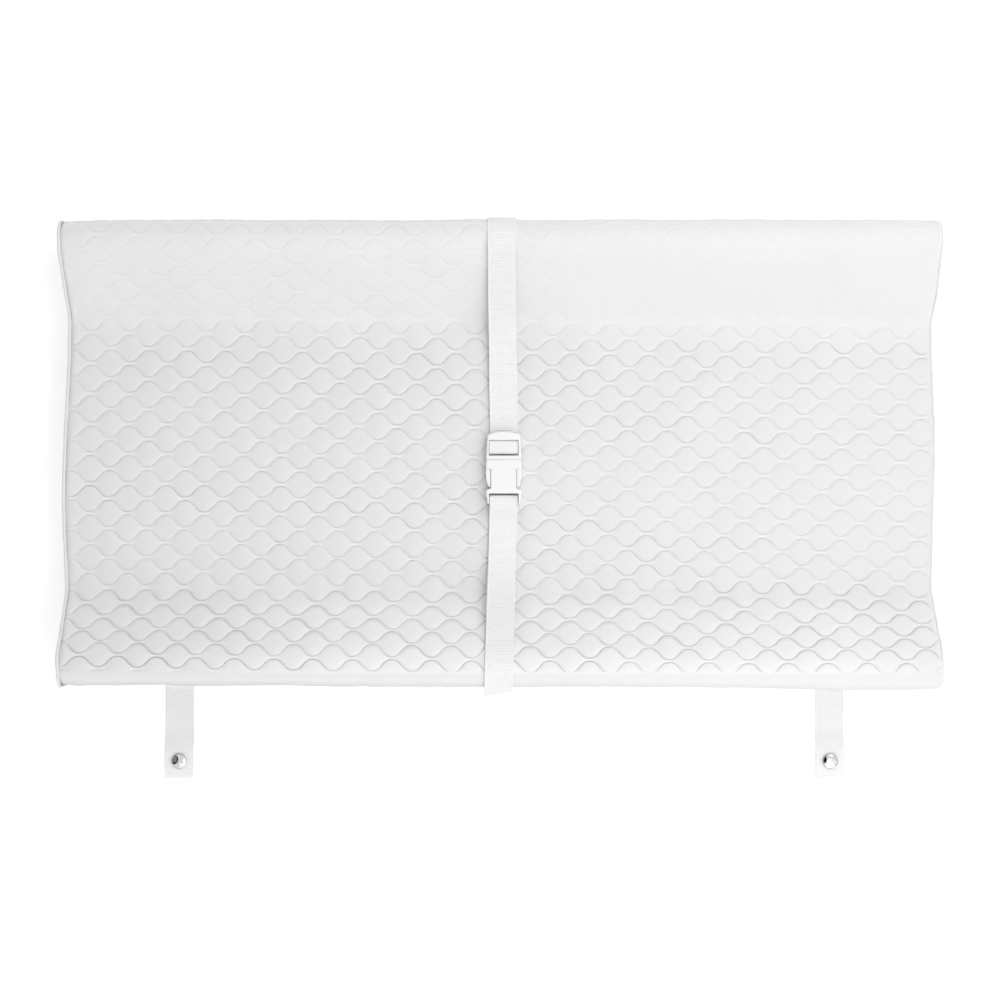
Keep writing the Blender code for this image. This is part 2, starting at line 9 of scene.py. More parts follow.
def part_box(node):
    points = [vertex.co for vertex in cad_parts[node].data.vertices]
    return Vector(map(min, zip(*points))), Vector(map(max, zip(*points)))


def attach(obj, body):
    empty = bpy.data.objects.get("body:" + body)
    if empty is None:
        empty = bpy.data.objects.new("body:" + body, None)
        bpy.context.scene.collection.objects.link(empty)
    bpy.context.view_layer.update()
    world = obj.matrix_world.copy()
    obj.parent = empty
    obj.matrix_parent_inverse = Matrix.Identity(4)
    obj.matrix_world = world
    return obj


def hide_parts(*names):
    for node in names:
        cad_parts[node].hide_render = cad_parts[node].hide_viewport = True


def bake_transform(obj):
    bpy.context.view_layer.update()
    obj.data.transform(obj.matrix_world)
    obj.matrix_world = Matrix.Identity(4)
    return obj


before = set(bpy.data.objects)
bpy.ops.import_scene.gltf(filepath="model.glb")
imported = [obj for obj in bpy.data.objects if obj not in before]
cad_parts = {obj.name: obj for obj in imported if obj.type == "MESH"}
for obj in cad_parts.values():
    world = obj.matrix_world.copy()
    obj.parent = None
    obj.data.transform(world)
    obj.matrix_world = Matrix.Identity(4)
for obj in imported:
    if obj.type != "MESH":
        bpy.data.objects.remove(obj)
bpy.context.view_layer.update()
MM = 0.001
scene = bpy.context.scene


def mm_box(node):
    lo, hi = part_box(node)
    return np.array(lo) * 1000, np.array(hi) * 1000


# ================================================================ camera
cam_data = bpy.data.cameras.new("camera")
cam_data.sensor_width = 36
cam_data.lens = 68.92
cam = bpy.data.objects.new("camera", cam_data)
scene.collection.objects.link(cam)
cam.location = (0.0001, -0.0711, 1.7931)
cam.rotation_euler = (math.radians(0.98), 0, 0)
cam_data.clip_start, cam_data.clip_end = 0.01, 50
scene.camera = cam

# ================================================================ helpers


def smoothstep(x, a, b):
    t = np.clip((np.asarray(x, float) - a) / (b - a), 0, 1)
    return t * t * (3 - 2 * t)


def ripple(seed, n, shortest, longest):
    """A smooth random field of about unit size whose waves are between those lengths, in mm."""
    r = np.random.default_rng(seed)
    k = 2 * np.pi / r.uniform(shortest, longest, n)
    a = r.uniform(0, 2 * np.pi, n)
    p = r.uniform(0, 2 * np.pi, n)

    def field(x, y):
        x, y = np.broadcast_arrays(np.asarray(x, float), np.asarray(y, float))
        out = np.zeros(x.shape)
        for i in range(n):
            out += np.cos(k[i] * (x * np.cos(a[i]) + y * np.sin(a[i])) + p[i])
        return out * math.sqrt(2.0 / n)

    return field


def mesh_object(name, verts, faces, uv=None, smooth=True):
    """verts in mm, faces an array of quads or a list of polygons, uv one pair a vertex."""
    mesh = bpy.data.meshes.new(name)
    mesh.from_pydata((np.asarray(verts, float) * MM).tolist(), [], [list(map(int, f)) for f in faces])
    mesh.update()
    if uv is not None:
        layer = mesh.uv_layers.new(name="UVMap")
        index = np.zeros(len(mesh.loops), int)
        mesh.loops.foreach_get("vertex_index", index)
        layer.data.foreach_set("uv", np.asarray(uv, float)[index].astype(np.float32).ravel())
    mesh.polygons.foreach_set("use_smooth", [smooth] * len(mesh.polygons))
    obj = bpy.data.objects.new(name, mesh)
    scene.collection.objects.link(obj)
    return obj


def grid_faces(rows, cols, wrap_rows=False, wrap_cols=False, flip=False):
    r = np.arange(rows if wrap_rows else rows - 1)
    c = np.arange(cols if wrap_cols else cols - 1)
    r0, c0 = np.meshgrid(r, c, indexing="ij")
    r1, c1 = (r0 + 1) % rows, (c0 + 1) % cols
    quads = np.stack([r0 * cols + c0, r0 * cols + c1, r1 * cols + c1, r1 * cols + c0], -1).reshape(-1, 4)
    return quads[:, ::-1] if flip else quads


def grid_object(name, points, uv=None, **how):
    rows, cols = points.shape[:2]
    return mesh_object(
        name, points.reshape(-1, 3), grid_faces(rows, cols, **how), None if uv is None else uv.reshape(-1, 2)
    )


def outward(obj):
    bm = bmesh.new()
    bm.from_mesh(obj.data)
    bmesh.ops.recalc_face_normals(bm, faces=bm.faces)
    bm.to_mesh(obj.data)
    bm.free()
    return obj


def mark_painted_turn_shade(obj, start, stop, keep=None):
    """Stores on each point how far its surface is turned away from straight up: the flanks of ribs, rolled edges and
    shoulders. Materials darken them with it as painted shade."""
    mesh = obj.data
    n = np.zeros(len(mesh.vertices) * 3, np.float32)
    mesh.vertex_normals.foreach_get("vector", n)
    n = n.reshape(-1, 3)
    value = np.clip((1 - np.abs(n[:, 2]) - start) / (stop - start), 0, 1)
    if keep is not None:
        value = value * keep
    layer = mesh.attributes.new("turned", "FLOAT", "POINT")
    layer.data.foreach_set("value", value.astype(np.float32))
    return obj


# ================================================================ materials


class Nodes:
    """A short way to write a node tree."""

    def __init__(self, name):
        self.material = bpy.data.materials.new(name)
        self.material.use_nodes = True
        self.tree = self.material.node_tree
        self.shader = self.tree.nodes["Principled BSDF"]

    def add(self, kind, **values):
        node = self.tree.nodes.new(kind)
        for key, value in values.items():
            if hasattr(node, key) and key not in ("Scale", "Detail"):
                setattr(node, key, value)
            else:
                self.put(node.inputs[key.replace("_", " ")], value)
        return node

    def put(self, socket, value):
        if isinstance(value, bpy.types.NodeSocket):
            self.tree.links.new(value, socket)
        else:
            socket.default_value = value

    def math(self, operation, a, b=0.0, c=None):
        node = self.tree.nodes.new("ShaderNodeMath")
        node.operation = operation
        self.put(node.inputs[0], a)
        self.put(node.inputs[1], b)
        if c is not None:
            self.put(node.inputs[2], c)
        return node.outputs[0]

    def range(self, value, a, b, c, d):
        node = self.tree.nodes.new("ShaderNodeMapRange")
        for i, v in enumerate((value, a, b, c, d)):
            self.put(node.inputs[i], v)
        return node.outputs[0]

    def noise(self, vector, scale, detail=2.0, roughness=0.5, stretch=None):
        if stretch is not None:
            mapping = self.tree.nodes.new("ShaderNodeMapping")
            mapping.inputs["Scale"].default_value = stretch
            self.put(mapping.inputs["Vector"], vector)
            vector = mapping.outputs[0]
        node = self.tree.nodes.new("ShaderNodeTexNoise")
        self.put(node.inputs["Vector"], vector)
        self.put(node.inputs["Scale"], scale)
        self.put(node.inputs["Detail"], detail)
        self.put(node.inputs["Roughness"], roughness)
        return node.outputs[0]

    def tint(self, factor, low, high):
        node = self.tree.nodes.new("ShaderNodeMix")
        node.data_type = "RGBA"
        self.put(node.inputs[0], factor)
        node.inputs[6].default_value = (*low, 1)
        node.inputs[7].default_value = (*high, 1)
        return node.outputs[2]

    def shade(self, colour, amount, towards=(0.30, 0.30, 0.31, 1)):
        """The colour moved that share of the way towards another, a dark one unless given."""
        node = self.tree.nodes.new("ShaderNodeMix")
        node.data_type = "RGBA"
        self.put(node.inputs[0], amount)
        self.put(node.inputs[6], colour)
        node.inputs[7].default_value = towards
        return node.outputs[2]

    def stored(self, name):
        node = self.tree.nodes.new("ShaderNodeAttribute")
        node.attribute_name = name
        return node.outputs["Fac"]

    def bump(self, height, distance, strength=1.0, under=None):
        node = self.tree.nodes.new("ShaderNodeBump")
        node.inputs["Strength"].default_value = strength
        node.inputs["Distance"].default_value = distance
        self.put(node.inputs["Height"], height)
        if under is not None:
            self.put(node.inputs["Normal"], under)
        return node.outputs[0]

    def coordinates(self, which="UV"):
        return self.tree.nodes.new("ShaderNodeTexCoord").outputs[which]


def vinyl(name, low, high, roughness=0.45, grain=0.05, crease=0.12, specular=0.35, rim=0.0, painted_groove_shade=0.0):
    """Satin vinyl over a soft backing. The coordinates are the UV map, in metres along the sheet."""
    n = Nodes(name)
    at = n.coordinates("UV")
    patches = n.noise(at, 18.0, 3.0)
    colour = n.tint(patches, low, high)
    if painted_groove_shade:
        # painted shade: the quilting lines are darkened, standing in for the shade in their grooves
        colour = n.shade(colour, n.math("MULTIPLY", n.stored("press"), painted_groove_shade))
        # painted highlight: the narrow necks between close lines are made paler
        colour = n.shade(colour, n.math("MULTIPLY", n.stored("painted_neck_highlight"), 0.6), (0.90, 0.90, 0.90, 1))
        # painted light: the inner walls are made paler
        colour = n.shade(colour, n.math("MULTIPLY", n.stored("painted_wall_light"), 0.32), (0.95, 0.95, 0.95, 1))
    # painted shade: rim darkens the colour where the surface turns away from straight up
    if rim:
        colour = n.shade(colour, n.math("MULTIPLY", n.stored("turned"), rim))
    n.put(n.shader.inputs["Base Color"], colour)
    n.put(n.shader.inputs["Roughness"], n.range(n.noise(at, 60.0, 4.0, 0.6), 0.3, 0.7, roughness - 0.05, roughness + 0.07))
    n.shader.inputs["Specular IOR Level"].default_value = specular
    fine = n.bump(n.noise(at, 2600.0, 2.0, 0.6), 0.00006, grain)
    soft = n.bump(n.noise(at, 120.0, 3.0, 0.55, (1.0, 0.55, 1.0)), 0.0005, crease, fine)
    n.put(n.shader.inputs["Normal"], soft)
    return n.material


def webbing(name, low, high, rim=0.35):
    """Woven polyester tape. UV is in millimetres: along the tape and across it."""
    n = Nodes(name)
    at = n.coordinates("UV")
    split = n.add("ShaderNodeSeparateXYZ", Vector=at)
    u, v = split.outputs[0], split.outputs[1]
    across = n.math("SINE", n.math("MULTIPLY", v, 2 * math.pi / 0.9))
    along = n.math("SINE", n.math("MULTIPLY", u, 2 * math.pi / 1.0))
    twill = n.math("MULTIPLY", across, along)
    fibre = n.noise(at, 1.6, 3.0, 0.7, (0.35, 3.0, 1.0))
    height = n.math("ADD", n.math("MULTIPLY", twill, 0.5), fibre)
    n.put(n.shader.inputs["Normal"], n.bump(height, 0.00012, 0.45))
    # painted shade: rim darkens rib flanks and selvedges where they turn away from straight up
    n.put(n.shader.inputs["Base Color"], n.shade(n.tint(n.noise(at, 0.25, 3.0), low, high), n.math("MULTIPLY", n.stored("turned"), rim)))
    n.put(n.shader.inputs["Roughness"], n.range(fibre, 0.3, 0.7, 0.62, 0.8))
    n.shader.inputs["Specular IOR Level"].default_value = 0.25
    n.shader.inputs["Sheen Weight"].default_value = 0.12
    return n.material


def plastic(name, low, high, roughness=0.2):
    n = Nodes(name)
    at = n.coordinates("Object")
    n.put(n.shader.inputs["Base Color"], n.tint(n.noise(at, 90.0, 2.0), low, high))
    n.put(n.shader.inputs["Roughness"], n.range(n.noise(at, 400.0, 3.0, 0.7), 0.3, 0.7, roughness - 0.04, roughness + 0.06))
    n.put(n.shader.inputs["Normal"], n.bump(n.noise(at, 900.0, 2.0), 0.00002, 0.25))
    n.shader.inputs["Specular IOR Level"].default_value = 0.5
    n.shader.inputs["Coat Weight"].default_value = 0.2
    n.shader.inputs["Coat Roughness"].default_value = 0.12
    return n.material


def chrome(name, colour, roughness=0.08):
    n = Nodes(name)
    at = n.coordinates("Object")
    n.shader.inputs["Metallic"].default_value = 1.0
    tone = n.tint(n.noise(at, 300.0, 2.0), colour, tuple(min(1, c * 1.06) for c in colour))
    # painted reflection: the base colour goes nearly black where the snap turns away from straight up, standing in for
    # dark surroundings seen in its rim
    n.put(n.shader.inputs["Base Color"], n.shade(tone, n.math("MULTIPLY", n.stored("turned"), 0.85), (0.05, 0.05, 0.05, 1)))
    n.put(n.shader.inputs["Roughness"], n.range(n.noise(at, 900.0, 4.0, 0.7), 0.3, 0.7, roughness - 0.03, roughness + 0.06))
    n.put(n.shader.inputs["Normal"], n.bump(n.noise(at, 2500.0, 2.0), 0.00001, 0.2))
    return n.material


def cloth(name, low, high):
    n = Nodes(name)
    at = n.coordinates("UV")
    split = n.add("ShaderNodeSeparateXYZ", Vector=at)
    weave = n.math(
        "MULTIPLY",
        n.math("SINE", n.math("MULTIPLY", split.outputs[0], 2 * math.pi / 0.0009)),
        n.math("SINE", n.math("MULTIPLY", split.outputs[1], 2 * math.pi / 0.0009)),
    )
    n.put(n.shader.inputs["Base Color"], n.tint(n.noise(at, 30.0, 4.0), low, high))
    n.put(n.shader.inputs["Roughness"], n.range(n.noise(at, 80.0, 3.0), 0.3, 0.7, 0.72, 0.86))
    n.put(n.shader.inputs["Normal"], n.bump(weave, 0.0001, 0.3))
    return n.material


def foam_material(name):
    n = Nodes(name)
    at = n.coordinates("Object")
    cells = n.add("ShaderNodeTexVoronoi", Vector=at, Scale=700.0)
    n.put(n.shader.inputs["Base Color"], n.tint(n.noise(at, 25.0, 3.0), (0.80, 0.77, 0.66), (0.86, 0.83, 0.73)))
    n.put(n.shader.inputs["Roughness"], n.range(n.noise(at, 200.0), 0.3, 0.7, 0.88, 0.98))
    n.put(n.shader.inputs["Normal"], n.bump(cells.outputs["Distance"], 0.0006, 0.6))
    return n.material


PAD_LOW, PAD_HIGH = (0.735, 0.735, 0.737), (0.765, 0.765, 0.766)
QUILTED = vinyl("quilted_vinyl_look", PAD_LOW, PAD_HIGH, 0.46, 0.05, 0.10, rim=0.55, painted_groove_shade=0.09)
PLAIN = vinyl("plain_vinyl_look", (0.64, 0.64, 0.642), (0.67, 0.67, 0.671), 0.42, 0.05, 0.16)
# painted light: the front band wears a lighter copy of the plain vinyl of the back band and ends, with painted shade
# where it turns down
LIT_FRONT_VINYL = vinyl("front_vinyl_painted_light_look", (0.755, 0.755, 0.757), (0.785, 0.785, 0.786), 0.42, 0.05, 0.16, rim=0.6)
PIPING = vinyl("piping_vinyl_look", (0.74, 0.74, 0.742), (0.78, 0.78, 0.781), 0.42, 0.08, 0.2, rim=0.45)
WEB = webbing("webbing_look", (0.83, 0.83, 0.832), (0.865, 0.865, 0.867), 0.24)
# painted light: the tabs wear a lighter copy of the strap webbing
LIT_TAB_WEB = webbing("tab_webbing_painted_light_look", (0.90, 0.90, 0.902), (0.935, 0.935, 0.937), 0.08)
THREAD = webbing("thread_look", (0.80, 0.80, 0.80), (0.86, 0.86, 0.86))
BUCKLE = plastic("buckle_look", (0.85, 0.85, 0.85), (0.88, 0.88, 0.88))
CHROME = chrome("snap_look", (0.72, 0.72, 0.73))
BASE = cloth("base_cloth_look", (0.66, 0.66, 0.67), (0.74, 0.74, 0.75))
FOAM = foam_material("foam_look")


def wear(obj, material):
    obj.data.materials.clear()
    obj.data.materials.append(material)
    return obj


# ================================================================ section of the pad
top_lo, top_hi = mm_box("quilted_top_panel")
front_lo, front_hi = mm_box("front_boxing")
back_lo, back_hi = mm_box("back_boxing")
tail_lo, tail_hi = mm_box("belt_tail")
pipe_lo, pipe_hi = mm_box("right_piping")
base_lo, base_hi = mm_box("base_panel")
end_lo, end_hi = mm_box("right_end_panel")

HALF_W = float(top_hi[1])
RIDGE_Z = float(top_hi[2])
CROWN = 2.0
VALLEY_Z = float(tail_lo[2]) - 0.35 - CROWN
SHOULDER_R = 14.5
RIDGE_Y = HALF_W - SHOULDER_R
FOOT_Y = 117.0
FRONT_SEAM_Y = float(-top_lo[1]) + 0.3
SLIT_Z = float(front_lo[2])
BACK_SEAM_Z = float(back_hi[2]) + 0.3
PIPE_R = 2.0
HALF_L = float(pipe_hi[0])


def rise(t, grow, die):
    t = np.clip(t, 0, 1)
    top = 1 / (1 - (grow + die) / 2)
    return np.where(
        t < grow,
        top * t * t / (2 * grow),
        np.where(t <= 1 - die, top * (grow / 2 + t - grow), 1 - top * (1 - t) ** 2 / (2 * die)),
    )


def surface_z(y):
    y = np.abs(np.asarray(y, float))
    valley = VALLEY_Z + CROWN * (1 - np.minimum(y / FOOT_Y, 1) ** 2)
    wall = (RIDGE_Z - VALLEY_Z) * rise((y - FOOT_Y) / (RIDGE_Y - FOOT_Y), 0.14, 0.30)
    return valley + np.where(y > FOOT_Y, wall, 0)


ys = np.linspace(0, RIDGE_Y, 900)
half = np.column_stack([ys, surface_z(ys)])
turn = np.linspace(math.pi / 2, 0, 120)[1:]
half = np.vstack([half, np.column_stack([RIDGE_Y + SHOULDER_R * np.cos(turn), RIDGE_Z - SHOULDER_R + SHOULDER_R * np.sin(turn)])])
down = np.linspace(RIDGE_Z - SHOULDER_R, SLIT_Z, 160)[1:]
half = np.vstack([half, np.column_stack([np.full(len(down), HALF_W), down])])
arc = np.concatenate([[0], np.cumsum(np.hypot(*np.diff(half, axis=0).T))])
PATH = np.vstack([half[::-1][:-1] * [-1, 1], half])
S = np.concatenate([-arc[::-1][:-1], arc])
tangent = np.gradient(PATH, S, axis=0)
kernel = np.hanning(41)
kernel /= kernel.sum()
tangent = np.column_stack([np.convolve(np.pad(tangent[:, i], 20, mode="edge"), kernel, "valid") for i in (0, 1)])
tangent /= np.linalg.norm(tangent, axis=1)[:, None]
NORMAL = np.column_stack([-tangent[:, 1], tangent[:, 0]])


def on_section(s, lift=0.0):
    """(y, z) at the length s along the section, moved out of it by lift."""
    y = np.interp(s, S, PATH[:, 0])
    z = np.interp(s, S, PATH[:, 1])
    ny = np.interp(s, S, NORMAL[:, 0])
    nz = np.interp(s, S, NORMAL[:, 1])
    return y + lift * ny, z + lift * nz


def s_at(y=None, z=None, side=1):
    """The length along the section at a height on a face, or at a place across the top."""
    part = S > 0 if side > 0 else S < 0
    if y is not None:
        use = part & (np.abs(PATH[:, 1] - SLIT_Z) > 0.5) & (PATH[:, 1] > RIDGE_Z - SHOULDER_R)
        use |= part & (np.abs(PATH[:, 0]) < RIDGE_Y)
        order = np.argsort(PATH[use, 0])
        return float(np.interp(y, PATH[use, 0][order], S[use][order]))
    use = part & (np.abs(PATH[:, 0]) > HALF_W - 1e-6)
    order = np.argsort(PATH[use, 1])
    return float(np.interp(z, PATH[use, 1][order], S[use][order]))


S_FRONT_SEAM = s_at(y=-FRONT_SEAM_Y, side=-1)
S_BACK_SEAM = s_at(z=BACK_SEAM_Z, side=1)
S_FRONT_END, S_BACK_END = float(S[0]), float(S[-1])


def end_x(s, side):
    """How far the end reaches, over its piping. Both ends swell in the valley, where the foam is thinnest."""
    if side < 0:
        return HALF_L - 0.6 + 5.3 * np.exp(-(((s + 35) / 95) ** 2))
    return (
        HALF_L
        - 0.6
        + 2.7 * np.exp(-(((s - 10) / 60) ** 2))
        + 1.9 * np.exp(-(((s - 150) / 24) ** 2))
        - 0.6 * smoothstep(s, -80, -120)
    )


# ================================================================ quilting lines
def swing(c):
    """Half the height of the wave of the line there: larger on the front wall, where the sheet is slack."""
    return 5.05 + 0.75 * float(smoothstep(-c, 100, 150))


def neck(k):
    """Where the k-th row of necks lies along the section."""
    out = -0.6 + 13.5 * k
    if k > 4:
        out += 0.3 * (k - 4)
    if k < -8:
        out += -1.5 * (-8 - k)
    return out + float(np.interp(k, (-15, -14, -13, -12, -11, -10, -9, -8, -7, -6), (2.5, 2.5, 2.3, 1.0, 0.4, 0.9, 2.1, 1.5, 0.6, 0.0)))


def drift(x, s, terms):
    """A cubic in x and s: how far the sheet's pattern has crept while it was sewn and stretched over the foam."""
    u, v = x / 400.0, np.clip(s, -215, 165) / 200.0
    out, k = 0.0, 0
    for i in range(4):
        for j in range(4 - i):
            out = out + terms[k] * u**i * v**j
            k += 1
    return out


CREEP = {
    "left": (
        (-0.92, 3.94, -1.44, -4.22, 0.12, -2.43, 0.04, 6.01, -4.50, 2.42),
        (-1.73, 0.13, 2.87, 3.10, -5.30, 5.71, 1.13, -0.74, 6.94, 0.84),
    ),
    "right": (
        (1.00, 2.64, 2.26, 1.10, -5.44, -1.95, -1.76, -0.50, 3.96, 2.24),
        (-1.89, 1.84, 1.21, -2.02, -0.56, 0.33, -3.35, -9.97, 3.73, 5.66),
    ),
}


# how much further back the last rows before the front seam lie, in mm, at these x and at four rows of necks
EASE_X = (-375, -340, -305, -270, -235, -200, -130, -60, 0, 60, 130, 200, 235, 270, 305, 340, 375)
EASE_S = (-167.6, -181.3, -196.1, -211.0)
EASE = (
    (0, 0, 0, 0, 0, 0, 0, 0, 0, 0.3, 0.3, 0, 0, 0.3, 0.8, 1.6, 3.0),
    (1.4, 0.8, 0.1, -0.5, -1.0, -1.2, -0.8, -0.8, -0.5, -1.0, -0.5, 0, 0.1, 0.8, 1.7, 3.2, 4.8),
    (2.2, 2.1, 1.0, 0, -0.8, -1.5, -1.7, -1.1, -0.6, -1.3, -0.5, 0.5, 1.3, 2.6, 4.2, 5.7, 6.8),
    (6.5, 5.3, 3.5, 2.4, 1.9, 0.9, 0.4, 0.4, -0.2, -0.4, 0.8, 2.5, 3.7, 5.0, 5.9, 6.7, 7.5),
)


def ease(x, s):
    rows = [np.interp(x, EASE_X, row) for row in EASE]
    out = rows[0] * (1 - smoothstep(-s, -EASE_S[0], -EASE_S[1])) * smoothstep(-s, 150, -EASE_S[0])
    for i in (1, 2, 3):
        rise = np.clip((-s + EASE_S[i - 1]) / (EASE_S[i - 1] - EASE_S[i]), 0, 1)
        fall = np.clip((-s + EASE_S[i]) / (EASE_S[i] - EASE_S[i + 1]), 0, 1) if i < 3 else 0
        out = out + rows[i] * rise * (1 - fall)
    return out


def creep(x, s):
    w = smoothstep(x, -9, 11)
    dx, ds = (drift(x, s, CREEP["left"][i]) * (1 - w) + drift(x, s, CREEP["right"][i]) * w for i in (0, 1))
    return dx, ds + ease(x, s)


def phase(x):
    left = 2 * math.pi * (x - 11.4) / 35.15
    right = 2 * math.pi * (x - 8.9) / 35.7
    w = smoothstep(x, -9, 11)
    return left * (1 - w) + right * w


def wave(x):
    t = phase(x)
    return (np.cos(t) - 0.075 * np.cos(3 * t)) / 0.925


wobble = ripple(11, 9, 45, 160)
FIRST, LAST = -16, 18


def line_s(n, x):
    c = (neck(n) + neck(n + 1)) / 2
    sign = -1 if n % 2 == 0 else 1
    s = np.full_like(np.asarray(x, float), c)
    for _ in range(4):
        dx, ds = creep(x, s)
        s = c + sign * swing(c) * wave(x - dx) + ds
    return s + 0.16 * wobble(x, c * 3.0)


def line_k(n, x):
    h = 0.4
    slope = (line_s(n, x + h) - line_s(n, x - h)) / (2 * h)
    return np.sqrt(1 + slope**2)


GROOVE = 0.58
PILLOW = 0.50
lumps = ripple(21, 14, 45, 150)
small = ripple(22, 16, 14, 34)
pucker = ripple(23, 9, 9, 26)
depth_noise = ripple(24, 12, 30, 90)


def relief(d1, d2):
    """Height of the sheet at a distance from each of the two lines that bound a bubble: a narrow pressed line
    on each side and a low, nearly flat pillow between them."""

    def press(d):
        return np.exp(-((np.maximum(d, 0) / 0.85) ** 1.5))

    def swell(d):
        d = np.maximum(d, 0)
        return 0.5 * (1 - np.exp(-d / 1.2)) + 0.5 * np.sin(np.minimum(d / 10.5, 1) * math.pi / 2)

    return -GROOVE * (press(d1) + press(d2)) + PILLOW * (swell(d1) * swell(d2) - 0.4) * 2.0


def depth_at(x, s):
    """How deep the quilting is: deepest on the front wall, where the sheet is slack, and nearly pulled flat on the back wall."""
    right = smoothstep(x, -60, 120)
    d = 0.86 - 0.12 * right + 0.34 * smoothstep(-s, 95, 150)
    back = smoothstep(s, 88, 135)
    d = d * (1 - back) + (0.24 - 0.15 * right) * back
    d = d + 0.15 * smoothstep(s, 198, 212)
    d = d * (1.0 + 0.10 * depth_noise(x, s))
    return np.clip(d, 0.08, 1.4)


INSET = {-1: 2.9, 1: 1.9}


def sheet_columns(s, fine=(0.0, 0.5, 1.1, 1.9, 3.0, 4.6, 6.8), count=306):
    """x of each column of a row whose s may change along it, with finer columns near both ends."""
    fine = np.array(fine)
    left, right = -(end_x(s, -1) - INSET[-1]), end_x(s, 1) - INSET[1]
    inner = np.linspace(left + fine[-1], right - fine[-1], count - 2 * (len(fine) - 1))
    return np.concatenate([left + fine[:-1], inner, (right - fine[:-1])[::-1]])


def end_drop(x, s):
    """How far the sheet dips towards the seam at each end, and the distance to the nearer seam."""
    to_left = np.clip(x + end_x(s, -1) - INSET[-1], 0, None)
    to_right = np.clip(end_x(s, 1) - INSET[1] - x, 0, None)
    drop = 1.5 * np.clip(1 - to_left / 4.2, 0, 1) ** 2 + 1.0 * np.clip(1 - to_right / 3.6, 0, 1) ** 2
    return drop, np.minimum(to_left, to_right)


def seam_lift(x):
    """The line both pieces keep to along the front seam."""
    return -0.18 + 0.18 * lumps(x, -212.0)


